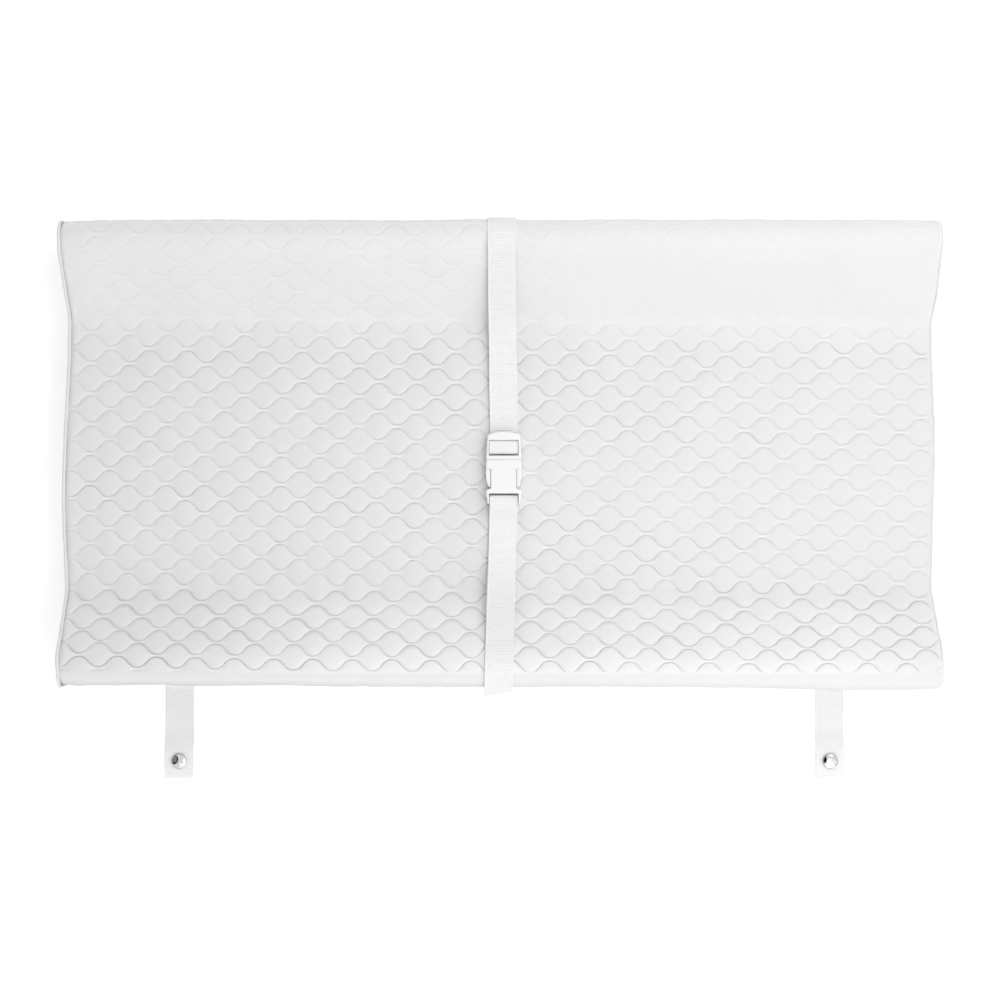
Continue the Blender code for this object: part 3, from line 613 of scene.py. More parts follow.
def quilted_panel():
    rows = []
    base = []
    offs = (-1.5, -0.8, -0.36, 0.0, 0.36, 0.8, 1.5)
    between = (0.2, 0.5, 0.8)
    lines = [n for n in range(FIRST, LAST) if S_FRONT_SEAM + 1.0 < (neck(n) + neck(n + 1)) / 2 < S_BACK_SEAM - 2.0]
    # the rows are laid out on the x of the nominal line, then each takes its own ends
    for i, n in enumerate(lines):
        c = (neck(n) + neck(n + 1)) / 2
        x = sheet_columns(c)
        here, k = line_s(n, x), line_k(n, x)
        if i == 0:
            for f in np.linspace(0, 1, 13)[:-1]:
                start = np.full_like(x, S_FRONT_SEAM)
                stop = here + offs[0] * k
                rows.append(start + (np.maximum(stop, S_FRONT_SEAM + 0.4) - start) * f)
                base.append(x)
        for o in offs:
            rows.append(np.maximum(here + o * k, S_FRONT_SEAM + 0.4 + 0.1 * (o + 1.5)))
            base.append(x)
        if i + 1 < len(lines):
            m = lines[i + 1]
            after, k2 = line_s(m, x), line_k(m, x)
            a, b = here + offs[-1] * k, after + offs[0] * k2
            # in the necks the two lines come within 4 mm of each other, and the rows stay in order
            for f in between:
                rows.append(a + np.maximum(b - a, 0.3) * f)
                base.append(x)
        else:
            a = here + offs[-1] * k
            for f in np.linspace(0, 1, 7)[1:]:
                rows.append(a + (S_BACK_SEAM - a) * f)
                base.append(x)
    s = np.array(rows)
    # no two rows are allowed to fall together where a line runs off the sheet
    step = 0.06 * np.arange(len(s))[:, None]
    s = np.maximum.accumulate(np.maximum(s, S_FRONT_SEAM) - step, axis=0) + step
    s = np.minimum(s, S_BACK_SEAM - (step[-1] - step))
    x = np.zeros_like(s)
    for i, row in enumerate(s):
        x[i] = sheet_columns(float(np.mean(row)))
    # height
    best1 = np.full(s.shape, 1e3)
    best2 = np.full(s.shape, 1e3)
    for n in range(FIRST, LAST):
        c = (neck(n) + neck(n + 1)) / 2
        near = np.abs(np.median(s, axis=1) - c) < 36
        if not near.any():
            continue
        # the line is worked out along one row and used for all the rows near it
        xr = np.linspace(-410, 410, 1641)
        here, k = line_s(n, xr), line_k(n, xr)
        d = (s[near] - np.interp(x[near], xr, here)) / np.interp(x[near], xr, k)
        best1[near] = np.where((d >= -0.01) & (d < best1[near]), d, best1[near])
        best2[near] = np.where((-d >= -0.01) & (-d < best2[near]), -d, best2[near])
    h = relief(best1, best2)
    drop, e = end_drop(x, s)
    fade = 0.35 + 0.65 * smoothstep(e, 1.0, 7.0)
    fade *= smoothstep(s - S_FRONT_SEAM, 0.3, 3.6)
    depth = depth_at(x, s) * fade
    lift = depth * h - 0.15
    lift += 0.26 * lumps(x, s) * smoothstep(e, 0, 20)
    lift += 0.05 * small(x, s)
    # gathers along the end seams
    lift += (0.32 * pucker(x * 0.35, s) - 0.1) * np.exp(-((e / 9.0) ** 2)) * smoothstep(e, 0.0, 2.0)
    # the seam at the front
    at_seam = 1 - smoothstep(s - S_FRONT_SEAM, 0.0, 3.4)
    lift = lift * (1 - at_seam) + seam_lift(x) * at_seam
    lift -= 0.8 * np.exp(-(((S_BACK_SEAM - s) / 1.2) ** 2))
    lift -= drop
    # the back shoulder stands a little fuller away from the left corner
    lift += smoothstep(s, 198, 216) * (1.1 - 1.4 * np.exp(-(((x + 392) / 45) ** 2)))
    # a tuck at the back left corner
    q = ((x + 383.5) * 0.80 + (s - 213.0) * -0.60)
    along = (x + 383.5) * 0.60 + (s - 213.0) * 0.80
    lift += (-1.0 * np.exp(-((q / 0.9) ** 2)) + 0.5 * np.exp(-(((q - 2.2) / 1.5) ** 2))) * np.exp(-((along / 8.0) ** 2))
    y, z = on_section(s, lift)
    obj = grid_object("quilted_cover", np.stack([x, y, z], -1), np.stack([x, s], -1) * MM)
    # painted shade in the quilting lines, stored as press, strongest where the quilting is deepest
    line_shade = np.exp(-((np.minimum(best1, best2) / 0.75) ** 2)) * np.clip(depth, 0, 1)
    # painted highlight: the narrow puffed ridge between two lines that come close is made paler
    gap = np.clip(best1 + best2 - 3.4, 0, None)
    painted_neck_highlight = 0.75 * np.exp(-((gap / 1.8) ** 2)) * (1 - np.clip(line_shade * 1.4, 0, 1)) * np.clip(depth * 1.1, 0, 1)
    # painted light: the sheet is made paler up both walls
    painted_wall_light = smoothstep(-s, 106, 150) * (0.1 + 0.9 * smoothstep(x, -330, -120)) * (1 - 0.5 * smoothstep(x, 300, 390))
    painted_wall_light = painted_wall_light + 0.6 * smoothstep(s, 84, 125)
    for key, value in (("press", line_shade), ("painted_neck_highlight", painted_neck_highlight), ("painted_wall_light", painted_wall_light)):
        layer = obj.data.attributes.new(key, "FLOAT", "POINT")
        layer.data.foreach_set("value", value.ravel().astype(np.float32))
    return obj


def lay(s_list, lift_fn, count=300):
    s = np.array([np.full(count, v) for v in s_list])
    x = np.array([sheet_columns(float(v), count=count) for v in s_list])
    lift = lift_fn(x, s)
    drop, e = end_drop(x, s)
    y, z = on_section(s, lift - drop)
    return np.stack([x, y, z], -1), np.stack([x, s], -1) * MM


crumple = ripple(31, 16, 30, 120)
crumple2 = ripple(32, 12, 10, 30)


def front_band():
    s_list = np.concatenate([
        np.linspace(S_FRONT_END, S_FRONT_END + 4, 5),
        np.linspace(S_FRONT_END + 4, s_at(z=RIDGE_Z - SHOULDER_R, side=-1), 26)[1:],
        np.linspace(s_at(z=RIDGE_Z - SHOULDER_R, side=-1), S_FRONT_SEAM, 22)[1:],
    ])

    def lift(x, s):
        up = (s - S_FRONT_END) / (S_FRONT_SEAM - S_FRONT_END)
        out = 0.45 * crumple(x, s * 1.6) * np.sin(np.clip(up, 0, 1) * math.pi) + 0.08 * crumple2(x, s)
        end = np.minimum(x + end_x(s, -1), end_x(s, 1) - x)
        bow = -1.4 + 1.5 * smoothstep(x, -330, -40) + 3.4 * np.exp(-(((x - 335) / 105) ** 2)) - 1.6 * np.exp(-((end / 8.0) ** 2))
        out += bow * smoothstep(1 - up, 0, 0.2) * smoothstep(up, 0, 0.35)
        at_seam = 1 - smoothstep(S_FRONT_SEAM - s, 0.0, 4.0)
        out = out * (1 - at_seam) + seam_lift(x) * at_seam
        out -= 1.2 * np.exp(-(((s - S_FRONT_END) / 1.5) ** 2))
        return out

    pts, uv = lay(s_list, lift)
    return grid_object("front_band", pts, uv)


def back_band():
    s_list = np.concatenate([
        np.linspace(S_BACK_SEAM, S_BACK_SEAM + 3, 5),
        np.linspace(S_BACK_SEAM + 3, S_BACK_END - 3, 26)[1:],
        np.linspace(S_BACK_END - 3, S_BACK_END, 5)[1:],
    ])

    def lift(x, s):
        up = np.clip((s - S_BACK_SEAM) / (S_BACK_END - S_BACK_SEAM), 0, 1)
        out = 0.6 * crumple(x + 900, s * 1.6) * np.sin(up * math.pi) + 0.10 * crumple2(x + 300, s)
        out += 0.8 * np.sin(up * math.pi) + (1 - up) ** 2 * (1.1 - 1.4 * np.exp(-(((x + 392) / 45) ** 2)))
        out -= 0.8 * np.exp(-(((s - S_BACK_SEAM) / 1.2) ** 2))
        out -= 1.2 * np.exp(-(((S_BACK_END - s) / 1.5) ** 2))
        return out

    pts, uv = lay(s_list, lift)
    return grid_object("back_band", pts, uv)


def end_face(side):
    name = "left" if side < 0 else "right"
    cols, rows = 190, 44
    y = np.linspace(-HALF_W + 1.2, HALF_W - 1.2, cols)
    inner = np.clip(np.abs(y), 0, RIDGE_Y)
    top = np.where(
        np.abs(y) <= RIDGE_Y,
        surface_z(inner),
        RIDGE_Z - SHOULDER_R + np.sqrt(np.maximum(SHOULDER_R**2 - (np.abs(y) - RIDGE_Y) ** 2, 0)),
    )
    top = top - 1.6
    bottom = float(end_lo[2])
    v = np.linspace(0, 1, rows) ** 0.9
    z = bottom + (top[None, :] - bottom) * v[:, None]
    s_of = np.interp(y, PATH[(np.abs(PATH[:, 0]) < HALF_W - 1e-3), 0], S[(np.abs(PATH[:, 0]) < HALF_W - 1e-3)])
    at_top = end_x(s_of, side) - INSET[side] + 0.3
    foot = float(end_hi[0]) - 0.6
    x = foot + (at_top[None, :] - foot) * smoothstep(v, 0.05, 1.0)[:, None]
    swell = np.sin(v * math.pi)[:, None] * np.ones_like(x)
    x = x + 1.6 * swell + 0.5 * crumple(y[None, :] * 1.3 + side * 700, z * 2.0) * swell
    x = x + 0.12 * crumple2(y[None, :] + side * 100, z)
    edge = np.minimum(v, 1 - v)[:, None] * (top[None, :] - bottom)
    x = x - 1.0 * np.exp(-((edge / 1.4) ** 2))
    x = x * side
    pts = np.stack([x, np.broadcast_to(y[None, :], x.shape), z], -1)
    uv = np.stack([np.broadcast_to(y[None, :], x.shape), z], -1) * MM
    return grid_object(name + "_end_face", pts, uv, flip=side < 0)


def piping(side):
    name = "left" if side < 0 else "right"
    s = np.concatenate([np.linspace(S_FRONT_END + 1.0, S_FRONT_SEAM, 60), np.linspace(S_FRONT_SEAM, S_BACK_SEAM, 230)[1:], np.linspace(S_BACK_SEAM, S_BACK_END - 1.0, 50)[1:]])
    # it is drawn down into the seam at both upper corners, and all along the right end
    radius = 1.6 if side < 0 else 1.4
    sink = 0.7 if side < 0 else 1.7
    sink = sink + 1.1 * np.exp(-(((s - 214) / 14) ** 2)) + 1.6 * np.exp(-(((s + 214) / 11) ** 2))
    y, z = on_section(s, -sink)
    x = end_x(s, side) - radius - 0.5 * smoothstep(-s, 200, 208) * (1 - smoothstep(-s, 222, 232))
    bumps = ripple(41 + side, 10, 7, 30)
    ny = np.interp(s, S, NORMAL[:, 0])
    nz = np.interp(s, S, NORMAL[:, 1])
    a = np.linspace(0, 2 * math.pi, 17)[:-1]
    r = radius * (1 + 0.035 * bumps(s, 0))[:, None]
    out = r * np.cos(a)[None, :]
    up = r * np.sin(a)[None, :]
    px = side * (x[:, None] + out + 0.12 * bumps(s, 40)[:, None])
    py = y[:, None] + up * ny[:, None]
    pz = z[:, None] + up * nz[:, None]
    pz = np.maximum(pz, 0.4)
    pts = np.stack([px, py, pz], -1)
    uv = np.stack([np.broadcast_to(s[:, None], px.shape), np.broadcast_to(a[None, :] * radius, px.shape)], -1) * MM
    obj = grid_object(name + "_piping_cord", pts, uv, wrap_cols=True)
    bm = bmesh.new()
    bm.from_mesh(obj.data)
    bmesh.ops.holes_fill(bm, edges=[e for e in bm.edges if e.is_boundary], sides=0)
    bmesh.ops.recalc_face_normals(bm, faces=bm.faces)
    bm.to_mesh(obj.data)
    bm.free()
    return obj


def underside():
    cols, rows = 120, 64
    hx, hy = float(base_hi[0]), float(base_hi[1])
    x = np.linspace(-hx, hx, cols)
    y = np.linspace(-hy, hy, rows)
    gx, gy = np.meshgrid(x, y)
    z = 0.25 + 0.22 * (1 + np.clip(crumple(gx, gy), -1, 1))
    edge = np.minimum(hx - np.abs(gx), hy - np.abs(gy))
    z = np.where(edge < 3, z + 0.9 * (1 - edge / 3) ** 2, z)
    low = np.stack([gx, gy, z], -1)
    up = np.stack([gx, gy, np.full_like(gx, float(base_hi[2]))], -1)
    uv = np.stack([gx, gy], -1) * MM
    verts = np.concatenate([low.reshape(-1, 3), up.reshape(-1, 3)])
    n = rows * cols
    f1 = grid_faces(rows, cols, flip=True)
    f2 = grid_faces(rows, cols) + n
    idx = np.arange(n).reshape(rows, cols)
    loop = np.concatenate([idx[0, :], idx[1:, -1], idx[-1, -2::-1], idx[-2:0:-1, 0]])
    nxt = np.roll(loop, -1)
    rim = np.stack([loop, nxt, nxt + n, loop + n], -1)
    obj = mesh_object("base_cloth", verts, np.concatenate([f1, f2, rim]), np.concatenate([uv.reshape(-1, 2)] * 2))
    return outward(obj)


def foam_block():
    """The core, hidden inside the cover: the section a few millimetres in, closed at both ends."""
    s = np.linspace(s_at(z=10.0, side=-1), s_at(z=10.0, side=1), 180)
    cols = 60
    x = np.linspace(-(HALF_L - 6.5), HALF_L - 6.5, cols)
    pts = np.zeros((len(s), cols, 3))
    soft = ripple(51, 10, 40, 120)
    for j in range(cols):
        y, z = on_section(s, -4.4 + 0.25 * soft(x[j], s))
        pts[:, j] = np.stack([np.full_like(y, x[j]), y, z], -1)
    under = pts[::-1].copy()
    under[:, :, 2] = 3.4
    under = under[::6]
    under[:, :, 1] = np.clip(under[:, :, 1], -HALF_W + 6, HALF_W - 6)
    ring = np.concatenate([pts, under])
    obj = mesh_object("foam_block", ring.reshape(-1, 3), grid_faces(len(ring), cols, wrap_rows=True))
    bm = bmesh.new()
    bm.from_mesh(obj.data)
    bmesh.ops.holes_fill(bm, edges=[e for e in bm.edges if e.is_boundary], sides=0)
    bmesh.ops.triangulate(bm, faces=[f for f in bm.faces if len(f.verts) > 4])
    bmesh.ops.recalc_face_normals(bm, faces=bm.faces)
    bm.to_mesh(obj.data)
    bm.free()
    return obj


cover = wear(quilted_panel(), QUILTED)
front_cloth = wear(front_band(), LIT_FRONT_VINYL)
back_cloth = wear(back_band(), PLAIN)
ends = {side: wear(end_face(side), PLAIN) for side in (-1, 1)}
pipes = {side: wear(piping(side), PIPING) for side in (-1, 1)}
under_cloth = wear(underside(), BASE)
core = wear(foam_block(), FOAM)
# painted shade: the cover's shoulders and rolled edges darken where they turn away from straight up
mark_painted_turn_shade(cover, 0.40, 0.78)
# painted shade on the front band where it turns down, less towards the right
height = np.zeros(len(front_cloth.data.vertices) * 3, np.float32)
front_cloth.data.vertices.foreach_get("co", height)
height = height.reshape(-1, 3) / MM
mark_painted_turn_shade(front_cloth, 0.18, 0.85, keep=1 - 0.3 * smoothstep(height[:, 0], -200, 250))
# painted shade on the piping, full on the left and 0.3 as strong on the right
mark_painted_turn_shade(pipes[-1], 0.3, 0.9)
mark_painted_turn_shade(pipes[1], 0.3, 0.9, keep=0.3)
for o, node, slot in (
    (cover, "quilted_top_panel", "quilted_vinyl"),
    (front_cloth, "front_boxing", "plain_vinyl"),
    (back_cloth, "back_boxing", "plain_vinyl"),
    (ends[-1], "left_end_panel", "plain_vinyl"),
    (ends[1], "right_end_panel", "plain_vinyl"),
    (pipes[-1], "left_piping", "piping_vinyl"),
    (pipes[1], "right_piping", "piping_vinyl"),
    (under_cloth, "base_panel", "base_cloth"),
    (core, "foam_core", "foam"),
):
    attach(o, "pad")
    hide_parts(node)

# ================================================================ webbing strips


def catmull(points, n=12):
    p = np.array(points, float)
    p = np.vstack([2 * p[0] - p[1], p, 2 * p[-1] - p[-2]])
    out = []
    for i in range(1, len(p) - 2):
        for k in range(n):
            t = k / n
            out.append(
                0.5
                * (
                    2 * p[i]
                    + (p[i + 1] - p[i - 1]) * t
                    + (2 * p[i - 1] - 5 * p[i] + 4 * p[i + 1] - p[i + 2]) * t**2
                    + (3 * p[i] - p[i - 1] - 3 * p[i + 1] + p[i + 2]) * t**3
                )
            )
    out.append(p[-2])
    return np.array(out)


def resample(line, step):
    d = np.concatenate([[0], np.cumsum(np.linalg.norm(np.diff(line, axis=0), axis=1))])
    n = max(2, int(round(d[-1] / step)) + 1)
    t = np.linspace(0, d[-1], n)
    return np.column_stack([np.interp(t, d, line[:, i]) for i in range(line.shape[1])]), t


def soften(line, width):
    if width < 1:
        return line
    pad = np.pad(line, ((width, width), (0, 0)), mode="reflect", reflect_type="odd")
    k = np.hanning(2 * width + 3)[1:-1]
    k /= k.sum()
    return np.column_stack([np.convolve(pad[:, i], k, "valid") for i in range(line.shape[1])])


def strap(name, path, middle, width, thickness=1.4, pitch=2.0, rib=0.20, step=0.3333, tilt=None, lift=None, soft=3, ends=(0.6, 0.6), seed=1):
    """A woven tape with cross ribs and two selvedges. path is (y, z) of its middle; middle(y, t) its x;
    tilt(t) a slope across the tape; lift(t, across) a bend of the surface, in mm."""
    line, t = resample(np.asarray(path, float), step)
    line = soften(line, soft)
    tan = np.gradient(line, axis=0)
    tan = soften(tan, 2)
    tan /= np.linalg.norm(tan, axis=1)[:, None]
    nor = np.column_stack([-tan[:, 1], tan[:, 0]])
    w = width / 2
    across = np.array([-1, -0.985, -0.955, -0.90, -0.86, -0.80, -0.6, -0.4, -0.2, 0, 0.2, 0.4, 0.6, 0.80, 0.86, 0.90, 0.955, 0.985, 1]) * w
    edge = w - np.abs(across)
    # a selvedge is a rounded cord of 1.6 mm with its own short ribs
    roundness = np.sqrt(np.clip(1 - (1 - np.clip(edge / 0.75, 0, 1)) ** 2, 0, 1))
    selvedge = np.exp(-(((edge - 0.9) / 0.55) ** 2))
    groove = np.exp(-(((edge - 1.75) / 0.35) ** 2))
    r = np.random.default_rng(seed)
    drift = 0.12 * np.sin(t / 13.0 + r.uniform(0, 6))
    phase_t = 2 * math.pi * t / pitch
    ribs = np.cos(phase_t)[:, None] * (1 - 0.55 * (edge < 1.9))[None, :]
    end_fade = np.clip(np.minimum(t / ends[0], (t[-1] - t) / ends[1]), 0, 1)
    end_fade = np.sqrt(1 - (1 - end_fade) ** 2)
    body = (thickness / 2 - rib) * roundness[None, :] * (0.45 + 0.55 * end_fade)[:, None]
    relief_top = rib * ribs * np.clip(roundness, 0, 1)[None, :] + (0.10 * selvedge - 0.13 * groove)[None, :]
    wave_edge = 0.09 * np.sin(2 * math.pi * t / pitch + 1.0)
    sides = []
    for sign in (1, -1):
        h = sign * (body + relief_top * end_fade[:, None])
        if lift is not None:
            h = h + lift(t[:, None], across[None, :])
        x = middle(line[:, 0], t)[:, None] + across[None, :] + np.sign(across)[None, :] * (wave_edge + drift)[:, None] * (np.abs(across) > 0.84 * w)
        y = line[:, 0][:, None] + h * nor[:, 0][:, None]
        z = line[:, 1][:, None] + h * nor[:, 1][:, None]
        if tilt is not None:
            y = y + tilt(t)[:, None] * across[None, :]
        sides.append(np.stack([x, y, z], -1))
    top, bottom = sides
    ring = np.concatenate([top, bottom[:, ::-1][:, 1:-1]], axis=1)
    # the outermost columns of both sides are one edge
    ring[:, 0] = (top[:, 0] + bottom[:, 0]) / 2
    ring[:, len(across) - 1] = (top[:, -1] + bottom[:, -1]) / 2
    rows, cols = ring.shape[:2]
    u = np.concatenate([across, across[::-1][1:-1]])
    uv = np.stack([np.broadcast_to(t[:, None], (rows, cols)), np.broadcast_to(u[None, :], (rows, cols))], -1)
    faces = grid_faces(rows, cols, wrap_cols=True)
    obj = mesh_object(name, ring.reshape(-1, 3), faces, uv.reshape(-1, 2))
    bm = bmesh.new()
    bm.from_mesh(obj.data)
    bmesh.ops.holes_fill(bm, edges=[e for e in bm.edges if e.is_boundary], sides=0)
    big = [f for f in bm.faces if len(f.verts) > 4]
    bmesh.ops.triangulate(bm, faces=big)
    bmesh.ops.recalc_face_normals(bm, faces=bm.faces)
    bm.to_mesh(obj.data)
    bm.free()
    # stored for the painted shade on rib flanks and selvedges
    mark_painted_turn_shade(obj, 0.12, 0.6)
    wear(obj, WEB)
    return obj


anchor_b_lo, anchor_b_hi = mm_box("back_belt_anchor")
anchor_f_lo, anchor_f_hi = mm_box("front_belt_anchor")
run_b_lo, run_b_hi = mm_box("back_belt_run")
run_f_lo, run_f_hi = mm_box("front_belt_run")
sock_lo, sock_hi = mm_box("buckle_socket")
plug_lo, plug_hi = mm_box("buckle_plug")
adj_lo, adj_hi = mm_box("adjuster_webbing")

WEB_T = 1.4
HINGE_Y = float(run_b_hi[1])
BELT_TOP = float(anchor_b_hi[2]) - WEB_T / 2
BELT_LOW = float(run_b_lo[2]) + WEB_T / 2
LAND_Y = 85.0
X_BACK = float(anchor_b_lo[0] + anchor_b_hi[0]) / 2
X_FRONT = float(anchor_f_lo[0] + anchor_f_hi[0]) / 2
BX = float(sock_lo[0] + sock_hi[0]) / 2
BACK_BULGE = float(anchor_b_hi[1]) - WEB_T / 2 - HALF_W - 0.6
FRONT_BULGE = -float(anchor_f_lo[1]) - WEB_T / 2 - HALF_W - 0.6
SOCK_END = float(sock_lo[1])
PLUG_END = float(plug_hi[1])


def belt_z(y):
    t = (np.abs(y) - LAND_Y) / (HINGE_Y - LAND_Y)
    return BELT_LOW + (BELT_TOP - BELT_LOW) * rise(t, 0.45, 0.15)


def anchor_knots(sign, bulge):
    k = [
        (HALF_W - 8.0, 3.1), (HALF_W - 2.5, 3.15), (HALF_W + 0.3, 3.6), (HALF_W + 1.2, 7.0), (HALF_W + 1.2, 18.0),
        (HALF_W + 0.55 * bulge + 1.0, 42.0), (HALF_W + bulge + 0.6, 70.0), (HALF_W + 0.9 * bulge + 0.6, 82.0),
        (HALF_W + 0.45 * bulge + 0.8, 91.5), (204.5, 99.0), (197.0, BELT_TOP - 0.4), (HINGE_Y + 0.25, BELT_TOP),
    ]
    return [(sign * y, z) for y, z in k]


def back_middle(y, t):
    return X_BACK + 2.0 * np.clip((HINGE_Y - y) / (HINGE_Y - PLUG_END), 0, 1.0)


def front_middle(y, t):
    return X_FRONT + (BX - X_FRONT) * np.clip((HINGE_Y + y) / (HINGE_Y + SOCK_END), 0, 1.02)


run_y = np.linspace(HINGE_Y - 1.5, LAND_Y, 60)
back_path = np.vstack([catmull(anchor_knots(1, BACK_BULGE)), np.column_stack([run_y, belt_z(run_y)]), [(60.0, BELT_LOW), (45.0, BELT_LOW), (24.0, BELT_LOW), (3.4, BELT_LOW)]])
back_strap = strap("back_strap", back_path, back_middle, 25.4, seed=3)
front_loop = catmull([
    (-66.0, BELT_LOW), (-60.0, 57.3), (-54.0, 59.7), (-48.5, 62.6), (-44.0, 63.7), (-40.0, 63.75), (-38.1, 63.2),
    (-37.15, 61.9), (-37.15, 59.7), (-38.0, 58.1), (-40.2, 57.5), (-44.5, 57.4), (-49.0, 56.4), (-55.0, 55.15), (-68.0, 55.05), (-82.0, 55.05),
])
front_path = np.vstack([catmull(anchor_knots(-1, FRONT_BULGE - 1.7)), np.column_stack([-run_y, belt_z(run_y)]), front_loop])
front_len = np.concatenate([[0], np.cumsum(np.linalg.norm(np.diff(front_path, axis=0), axis=1))])


def front_tilt(t):
    """The strip hangs off the front face a little further at its left edge."""
    return 0.17 * np.exp(-(((t - 78) / 34) ** 2))


front_strap = strap("front_strap", front_path, front_middle, 25.4, tilt=front_tilt, seed=4)
tail = strap("strap_tail", [(80.0, 55.0), (60.0, 55.0), (40.0, 55.0), (4.4, 55.0)], lambda y, t: BX + 0 * y, 25.4, 1.25, rib=0.1, ends=(1.2, 0.6), seed=5)
ADJ_W = float(adj_hi[0] - adj_lo[0]) + 1.1
adj_path = catmull([
    (17.2, 58.6), (14.4, 58.62), (13.1, 59.1), (12.4, 60.4), (12.3, 62.3), (11.6, 63.45),
    (9.4, 63.85), (4.0, 63.85), (1.9, 63.45), (1.05, 62.2), (1.0, 60.4), (1.5, 59.1), (3.0, 58.55), (9.0, 58.55),
])
adjuster = strap("adjuster_loop", adj_path, lambda y, t: BX + 0 * y, ADJ_W, 1.3, rib=0.10, step=0.25, soft=2, seed=6)


def ride_blend(obj):
    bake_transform(obj)


ride_blend(back_strap)
ride_blend(front_strap)
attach(tail, "back_belt")
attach(adjuster, "plug")
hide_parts("back_belt_anchor", "back_belt_run")
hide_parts("front_belt_anchor", "front_belt_run")
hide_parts("belt_tail")
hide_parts("adjuster_webbing")
wear(adjuster, WEB)

# ================================================================ anchor tabs
tab_objs = {}
for name in ("left", "right"):
    lo, hi = mm_box(name + "_anchor_tab")
    slo, shi = mm_box(name + "_tab_sewn_end")
    x = float(lo[0] + hi[0]) / 2
    hy, hz, ey = -208.6, 3.0, float(lo[1])
    knots = [
        (float(shi[1]), 3.1), (hy + 3.0, 3.1), (hy, hz), (-211.0, 2.7), (-215.5, 1.35), (-221.0, 0.95), (-240.0, 0.92),
        (-253.0, 1.0), (-262.0, 2.4), (-270.0, 4.2), (-277.0, 4.6), (-286.0, 4.6), (ey + 6, 4.5), (ey, 4.3 if name == "left" else 4.6),
    ]
    slant = 0.0 if name == "left" else 0.035

    def tab_tilt(t, slant=slant):
        return slant * smoothstep(t, 70, 98) - (0.02 if slant == 0 else 0) * smoothstep(t, 70, 98)

    tab = strap(name + "_tab_strip", catmull(knots), lambda y, t, x=x: x + 0 * y, float(hi[0] - lo[0]), 1.4, rib=0.12, tilt=tab_tilt, ends=(0.6, 0.5), soft=2, seed=8 if name == "left" else 9)
    ride_blend(tab)
    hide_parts(name + "_anchor_tab", name + "_tab_sewn_end")
    wear(tab, LIT_TAB_WEB)
    tab_objs[name] = tab


# ================================================================ snaps
def turned(name, profile, at, steps=72):
    p = np.array(profile, float)
    a = np.linspace(0, 2 * math.pi, steps + 1)[:-1]
    rows = []
    for r, z in p:
        rows.append(np.column_stack([at[0] + r * np.cos(a), at[1] + r * np.sin(a), np.full(steps, at[2] + z)]))
    pts = np.array(rows)
    obj = mesh_object(name, pts.reshape(-1, 3), grid_faces(len(p), steps, wrap_cols=True))
    bm = bmesh.new()
    bm.from_mesh(obj.data)
    bmesh.ops.remove_doubles(bm, verts=bm.verts, dist=1e-7)
    bmesh.ops.recalc_face_normals(bm, faces=bm.faces)
    bm.to_mesh(obj.data)
    bm.free()
    for poly in obj.data.polygons:
        poly.use_smooth = True
    # stored for the painted dark reflection on the chrome
    return mark_painted_turn_shade(obj, 0.12, 0.5)


for name in ("left", "right"):
    clo, chi = mm_box(name + "_snap_cap")
    slo, shi = mm_box(name + "_snap_socket")
    cx, cy = float(clo[0] + chi[0]) / 2, float(clo[1] + chi[1]) / 2
    R = float(chi[0] - clo[0]) / 2
    H = float(chi[2] - clo[2])
    dome = [(0.0, H)]
    for r in np.linspace(0.3, R - 1.35, 16):
        dome.append((r, H - 0.95 * (r / (R - 1.35)) ** 2.0 * 0.9))
    for a in np.linspace(66, -42, 14):
        dome.append((R - 1.3 + 1.3 * math.cos(math.radians(a)), 0.95 + 0.95 * math.sin(math.radians(a))))
    dome += [(R - 1.2, 0.02), (R - 2.2, 0.0), (0.0, 0.0)]
    cap = wear(turned(name + "_snap_dome", dome, (cx, cy, float(clo[2]))), CHROME)
    SR, SH = float(shi[0] - slo[0]) / 2, float(shi[2] - slo[2])
    ring = [
        (0.0, SH), (SR - 0.6, SH), (SR - 0.15, SH - 0.15), (SR, SH - 0.5), (SR, 1.3), (SR - 0.25, 0.95), (SR - 1.3, 0.6),
        (SR - 1.55, 0.25), (SR - 1.7, 0.02), (3.25, 0.0), (2.95, 0.12), (2.8, 0.45), (2.75, SH - 1.1), (2.3, SH - 1.0), (0.0, SH - 1.0),
    ]
    seat = wear(turned(name + "_snap_seat", ring, ((slo[0] + shi[0]) / 2, (slo[1] + shi[1]) / 2, float(slo[2]))), CHROME)
    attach(cap, name + "_tab")
    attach(seat, name + "_tab")
    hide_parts(name + "_snap_cap")
    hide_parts(name + "_snap_socket")


# ================================================================ buckle


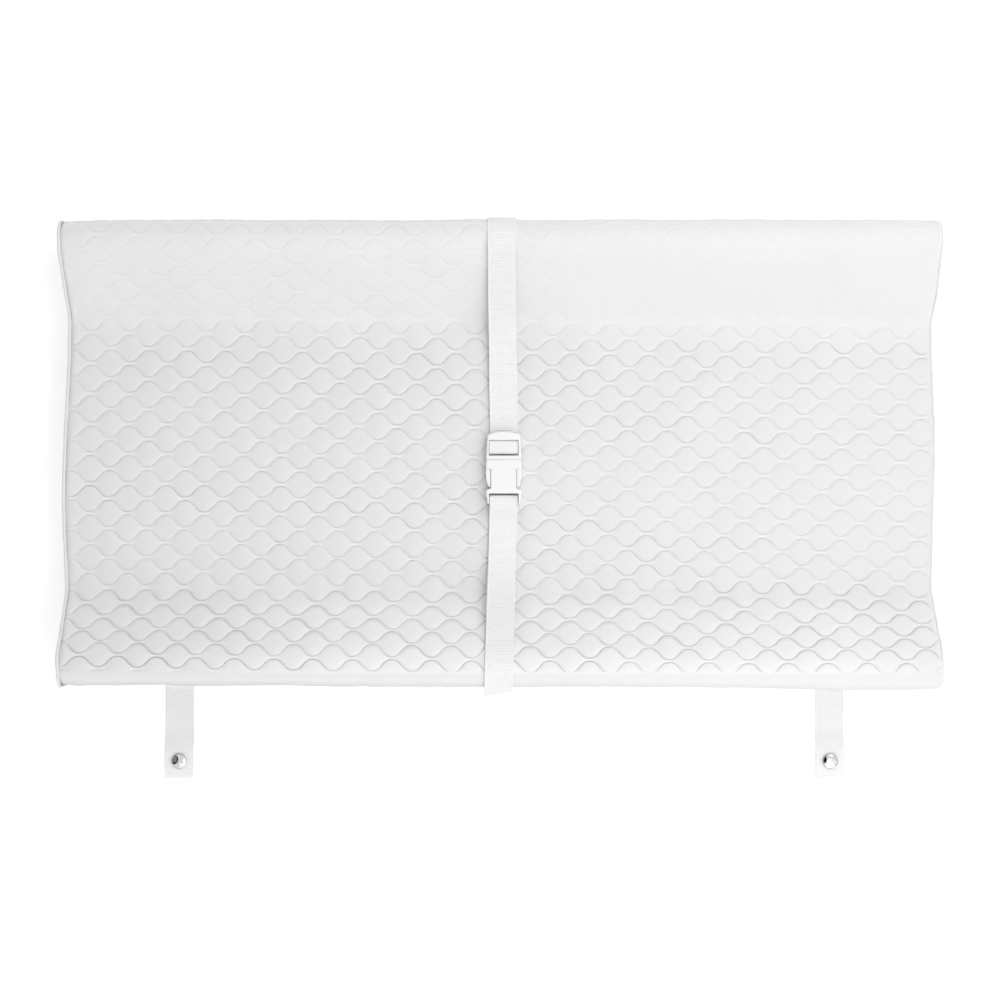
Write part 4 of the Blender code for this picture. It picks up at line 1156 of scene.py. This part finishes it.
def moulded(node, name, body, voxel=0.22, rounds=4, close=None):
    """A moulding with its edges rounded off all over: the CAD solid remeshed finely and relaxed.
    close(points) moves points, in mm, so that neighbouring mouldings meet without an open line."""
    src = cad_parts[node]
    mesh = src.data.copy()
    mesh.name = name
    obj = bpy.data.objects.new(name, mesh)
    scene.collection.objects.link(obj)
    obj.data.materials.clear()
    m = obj.modifiers.new("remesh", "REMESH")
    m.mode = "VOXEL"
    m.voxel_size = voxel * MM * 1.0
    s = obj.modifiers.new("relax", "SMOOTH")
    s.factor = 0.5
    s.iterations = rounds
    bpy.context.view_layer.update()
    graph = bpy.context.evaluated_depsgraph_get()
    done = bpy.data.meshes.new_from_object(obj.evaluated_get(graph))
    obj.modifiers.clear()
    obj.data = done
    if close is not None:
        to_world = np.array(obj.matrix_world)
        co = np.zeros(len(done.vertices) * 3, np.float32)
        done.vertices.foreach_get("co", co)
        at = (co.reshape(-1, 3) @ to_world[:3, :3].T + to_world[:3, 3]) / MM
        at = close(at) * MM
        co = (at - to_world[:3, 3]) @ np.linalg.inv(to_world[:3, :3]).T
        done.vertices.foreach_set("co", co.astype(np.float32).ravel())
        done.update()
    for poly in done.polygons:
        poly.use_smooth = True
    wear(obj, BUCKLE)
    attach(obj, body)
    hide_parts(node)
    return obj


MOUTH_Y = float(sock_hi[1])


def close_mouth(p):
    p = p.copy()
    p[:, 1] += 0.62 * smoothstep(p[:, 1], MOUTH_Y - 1.3, MOUTH_Y - 0.5)
    return p


def close_plug(p):
    """The top bar arches up in the middle."""
    p = p.copy()
    across = np.clip((p[:, 0] - BX) / 14.6, -1, 1)
    p[:, 1] += 0.9 * (1 - across**2) * smoothstep(p[:, 1], PLUG_END - 2.2, PLUG_END - 0.9)
    return p


def close_arm(p):
    """The pad fills its window at the top."""
    p = p.copy()
    wide = smoothstep(np.abs(p[:, 0] - BX), 11.5, 11.75)
    top = float(p[:, 1][np.abs(p[:, 0] - BX) > 14.5].max())
    p[:, 1] += 0.45 * wide * smoothstep(p[:, 1], top - 1.4, top - 0.5) * (p[:, 1] < top + 0.3)
    return p


moulded("buckle_socket", "socket_shell", "front_belt", close=close_mouth)
moulded("buckle_plug", "plug_body", "plug", close=close_plug)
moulded("plug_left_arm", "left_arm_body", "left_arm", 0.2, 3, close_arm)
moulded("plug_right_arm", "right_arm_body", "right_arm", 0.2, 3, close_arm)


# ================================================================ stitches
def stitch_rows(name, lines, pitch=2.6, length=2.0, radius=0.19, steps=6, seed=0):
    """Short sunken stitches along lines of (x, y, z, nx, ny, nz) points in mm, as one mesh of small rounded lengths of thread."""
    verts, faces, uvs = [], [], []
    for line in lines:
        line = np.array(line, float)
        d = np.concatenate([[0], np.cumsum(np.linalg.norm(np.diff(line[:, :3], axis=0), axis=1))])
        count = max(1, int(d[-1] / pitch))
        for i in range(count):
            a = (i + 0.5) * d[-1] / count - length / 2
            ts = np.linspace(0, 1, 7)
            centre = np.column_stack([np.interp(a + ts * length, d, line[:, j]) for j in range(6)])
            nrm = centre[:, 3:] / np.linalg.norm(centre[:, 3:], axis=1)[:, None]
            tan = np.gradient(centre[:, :3], axis=0)
            tan /= np.linalg.norm(tan, axis=1)[:, None] + 1e-12
            side = np.cross(tan, nrm)
            sink = -radius * 1.4 * (2 * ts - 1) ** 4
            r = radius * np.sqrt(np.clip(1 - (np.abs(2 * ts - 1)) ** 4, 0.02, 1))
            base = len(verts)
            ang = np.linspace(0, 2 * math.pi, steps + 1)[:-1]
            for q in range(len(ts)):
                for w in ang:
                    p = centre[q, :3] + nrm[q] * (sink[q] + r[q] * math.sin(w)) + side[q] * r[q] * math.cos(w)
                    verts.append(p)
                    uvs.append((a + ts[q] * length, w))
            g = grid_faces(len(ts), steps, wrap_cols=True) + base
            faces.extend(g.tolist())
            faces.append(list(range(base, base + steps))[::-1])
            faces.append(list(range(base + (len(ts) - 1) * steps, base + len(ts) * steps)))
    obj = mesh_object(name, np.array(verts), faces, np.array(uvs))
    return wear(outward(obj), THREAD)


def strap_line(path, middle, side_x, y0, y1, lift, n=40):
    """A line on the upper face of a strap between two places along y."""
    y = np.linspace(y0, y1, n)
    order = np.argsort(path[:, 0])
    z = np.interp(y, path[order, 0], path[order, 1])
    dz = np.gradient(z, y)
    nrm = np.column_stack([np.zeros(n), -dz, np.ones(n)])
    nrm /= np.linalg.norm(nrm, axis=1)[:, None]
    x = middle(y, None) + side_x
    return np.column_stack([x, y + nrm[:, 1] * lift, z + nrm[:, 2] * lift, nrm])


def across_line(path, middle, x0, x1, y, lift, n=12):
    one = strap_line(path, middle, 0.0, y - 0.5, y + 0.5, lift, 3)[1]
    out = np.repeat(one[None, :], n, 0)
    out[:, 0] = one[0] + np.linspace(x0, x1, n)
    return out


top_of_front = np.column_stack([-run_y, belt_z(run_y)])
top_of_front = np.vstack([catmull(anchor_knots(-1, FRONT_BULGE - 1.7))[-40:], top_of_front])
LIFT = WEB_T / 2 + 0.02
box_lines = [
    strap_line(top_of_front, front_middle, -8.6, -198.6, -184.6, LIFT),
    strap_line(top_of_front, front_middle, 8.6, -198.6, -184.6, LIFT),
    across_line(top_of_front, front_middle, -8.6, 8.6, -184.6, LIFT),
    across_line(top_of_front, front_middle, -8.6, 8.6, -198.6, LIFT),
]
box_stitch = stitch_rows("front_box_stitch", box_lines)
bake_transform(box_stitch)

# ================================================================ stage and light
floor_mat = bpy.data.materials.new("floor_look")
floor_mat.use_nodes = True
fs = floor_mat.node_tree.nodes["Principled BSDF"]
fs.inputs["Base Color"].default_value = (0.96, 0.96, 0.96, 1)
fs.inputs["Roughness"].default_value = 0.9
fs.inputs["Specular IOR Level"].default_value = 0.0
fs.inputs["Emission Color"].default_value = (1, 1, 1, 1)
fs.inputs["Emission Strength"].default_value = 0.30
floor_mesh = bpy.data.meshes.new("floor")
floor_mesh.from_pydata([(-40, -40, 0), (40, -40, 0), (40, 40, 0), (-40, 40, 0)], [], [(0, 1, 2, 3)])
floor = bpy.data.objects.new("floor", floor_mesh)
floor.location.z = -0.0003
scene.collection.objects.link(floor)
floor.data.materials.append(floor_mat)

world = bpy.data.worlds.new("studio")
scene.world = world
world.use_nodes = True
wt = world.node_tree
way = wt.nodes.new("ShaderNodeTexCoord")
toward = wt.nodes.new("ShaderNodeVectorMath")
toward.operation = "DOT_PRODUCT"
wt.links.new(way.outputs["Generated"], toward.inputs[0])
toward.inputs[1].default_value = Vector((-math.sin(math.radians(38)), 0.06, math.cos(math.radians(38)))).normalized()
dim = wt.nodes.new("ShaderNodeMapRange")
wt.links.new(toward.outputs["Value"], dim.inputs[0])
dim.inputs[1].default_value, dim.inputs[2].default_value = math.cos(math.radians(27)), math.cos(math.radians(25))
dim.inputs[3].default_value, dim.inputs[4].default_value = 1.0, 0.0
wt.links.new(dim.outputs[0], wt.nodes["Background"].inputs[0])
world.node_tree.nodes["Background"].inputs[1].default_value = 0.865


def softbox(name, azimuth, elevation, distance, size, power):
    """A square soft light. Azimuth 0 is the right, -90 the front, in degrees."""
    data = bpy.data.lights.new(name, "AREA")
    data.shape = "SQUARE"
    data.size = size
    data.energy = power
    obj = bpy.data.objects.new(name, data)
    a, e = math.radians(azimuth), math.radians(elevation)
    aim = Vector((0, 0, 0.05))
    obj.location = aim + distance * Vector((math.cos(a) * math.cos(e), math.sin(a) * math.cos(e), math.sin(e)))
    obj.rotation_euler = (aim - obj.location).to_track_quat("-Z", "Y").to_euler()
    obj.visible_camera = False
    scene.collection.objects.link(obj)
    return obj


softbox("high_key", -45, 70, 1.4, 0.35, 2.3)
softbox("front_right", -45, 50, 1.1, 0.8, 0.5)
softbox("low_key", -65, 32, 1.1, 0.8, 1.3)
softbox("front", -90, 40, 1.1, 0.8, 0.7)
softbox("back_right", 45, 45, 1.1, 0.8, 2.2)
softbox("left_fill", 180, 45, 2.4, 1.5, 1.8)

scene.view_settings.view_transform = "Standard"
scene.view_settings.look = "None"
scene.view_settings.exposure = 0.0
scene.view_settings.gamma = 1.0
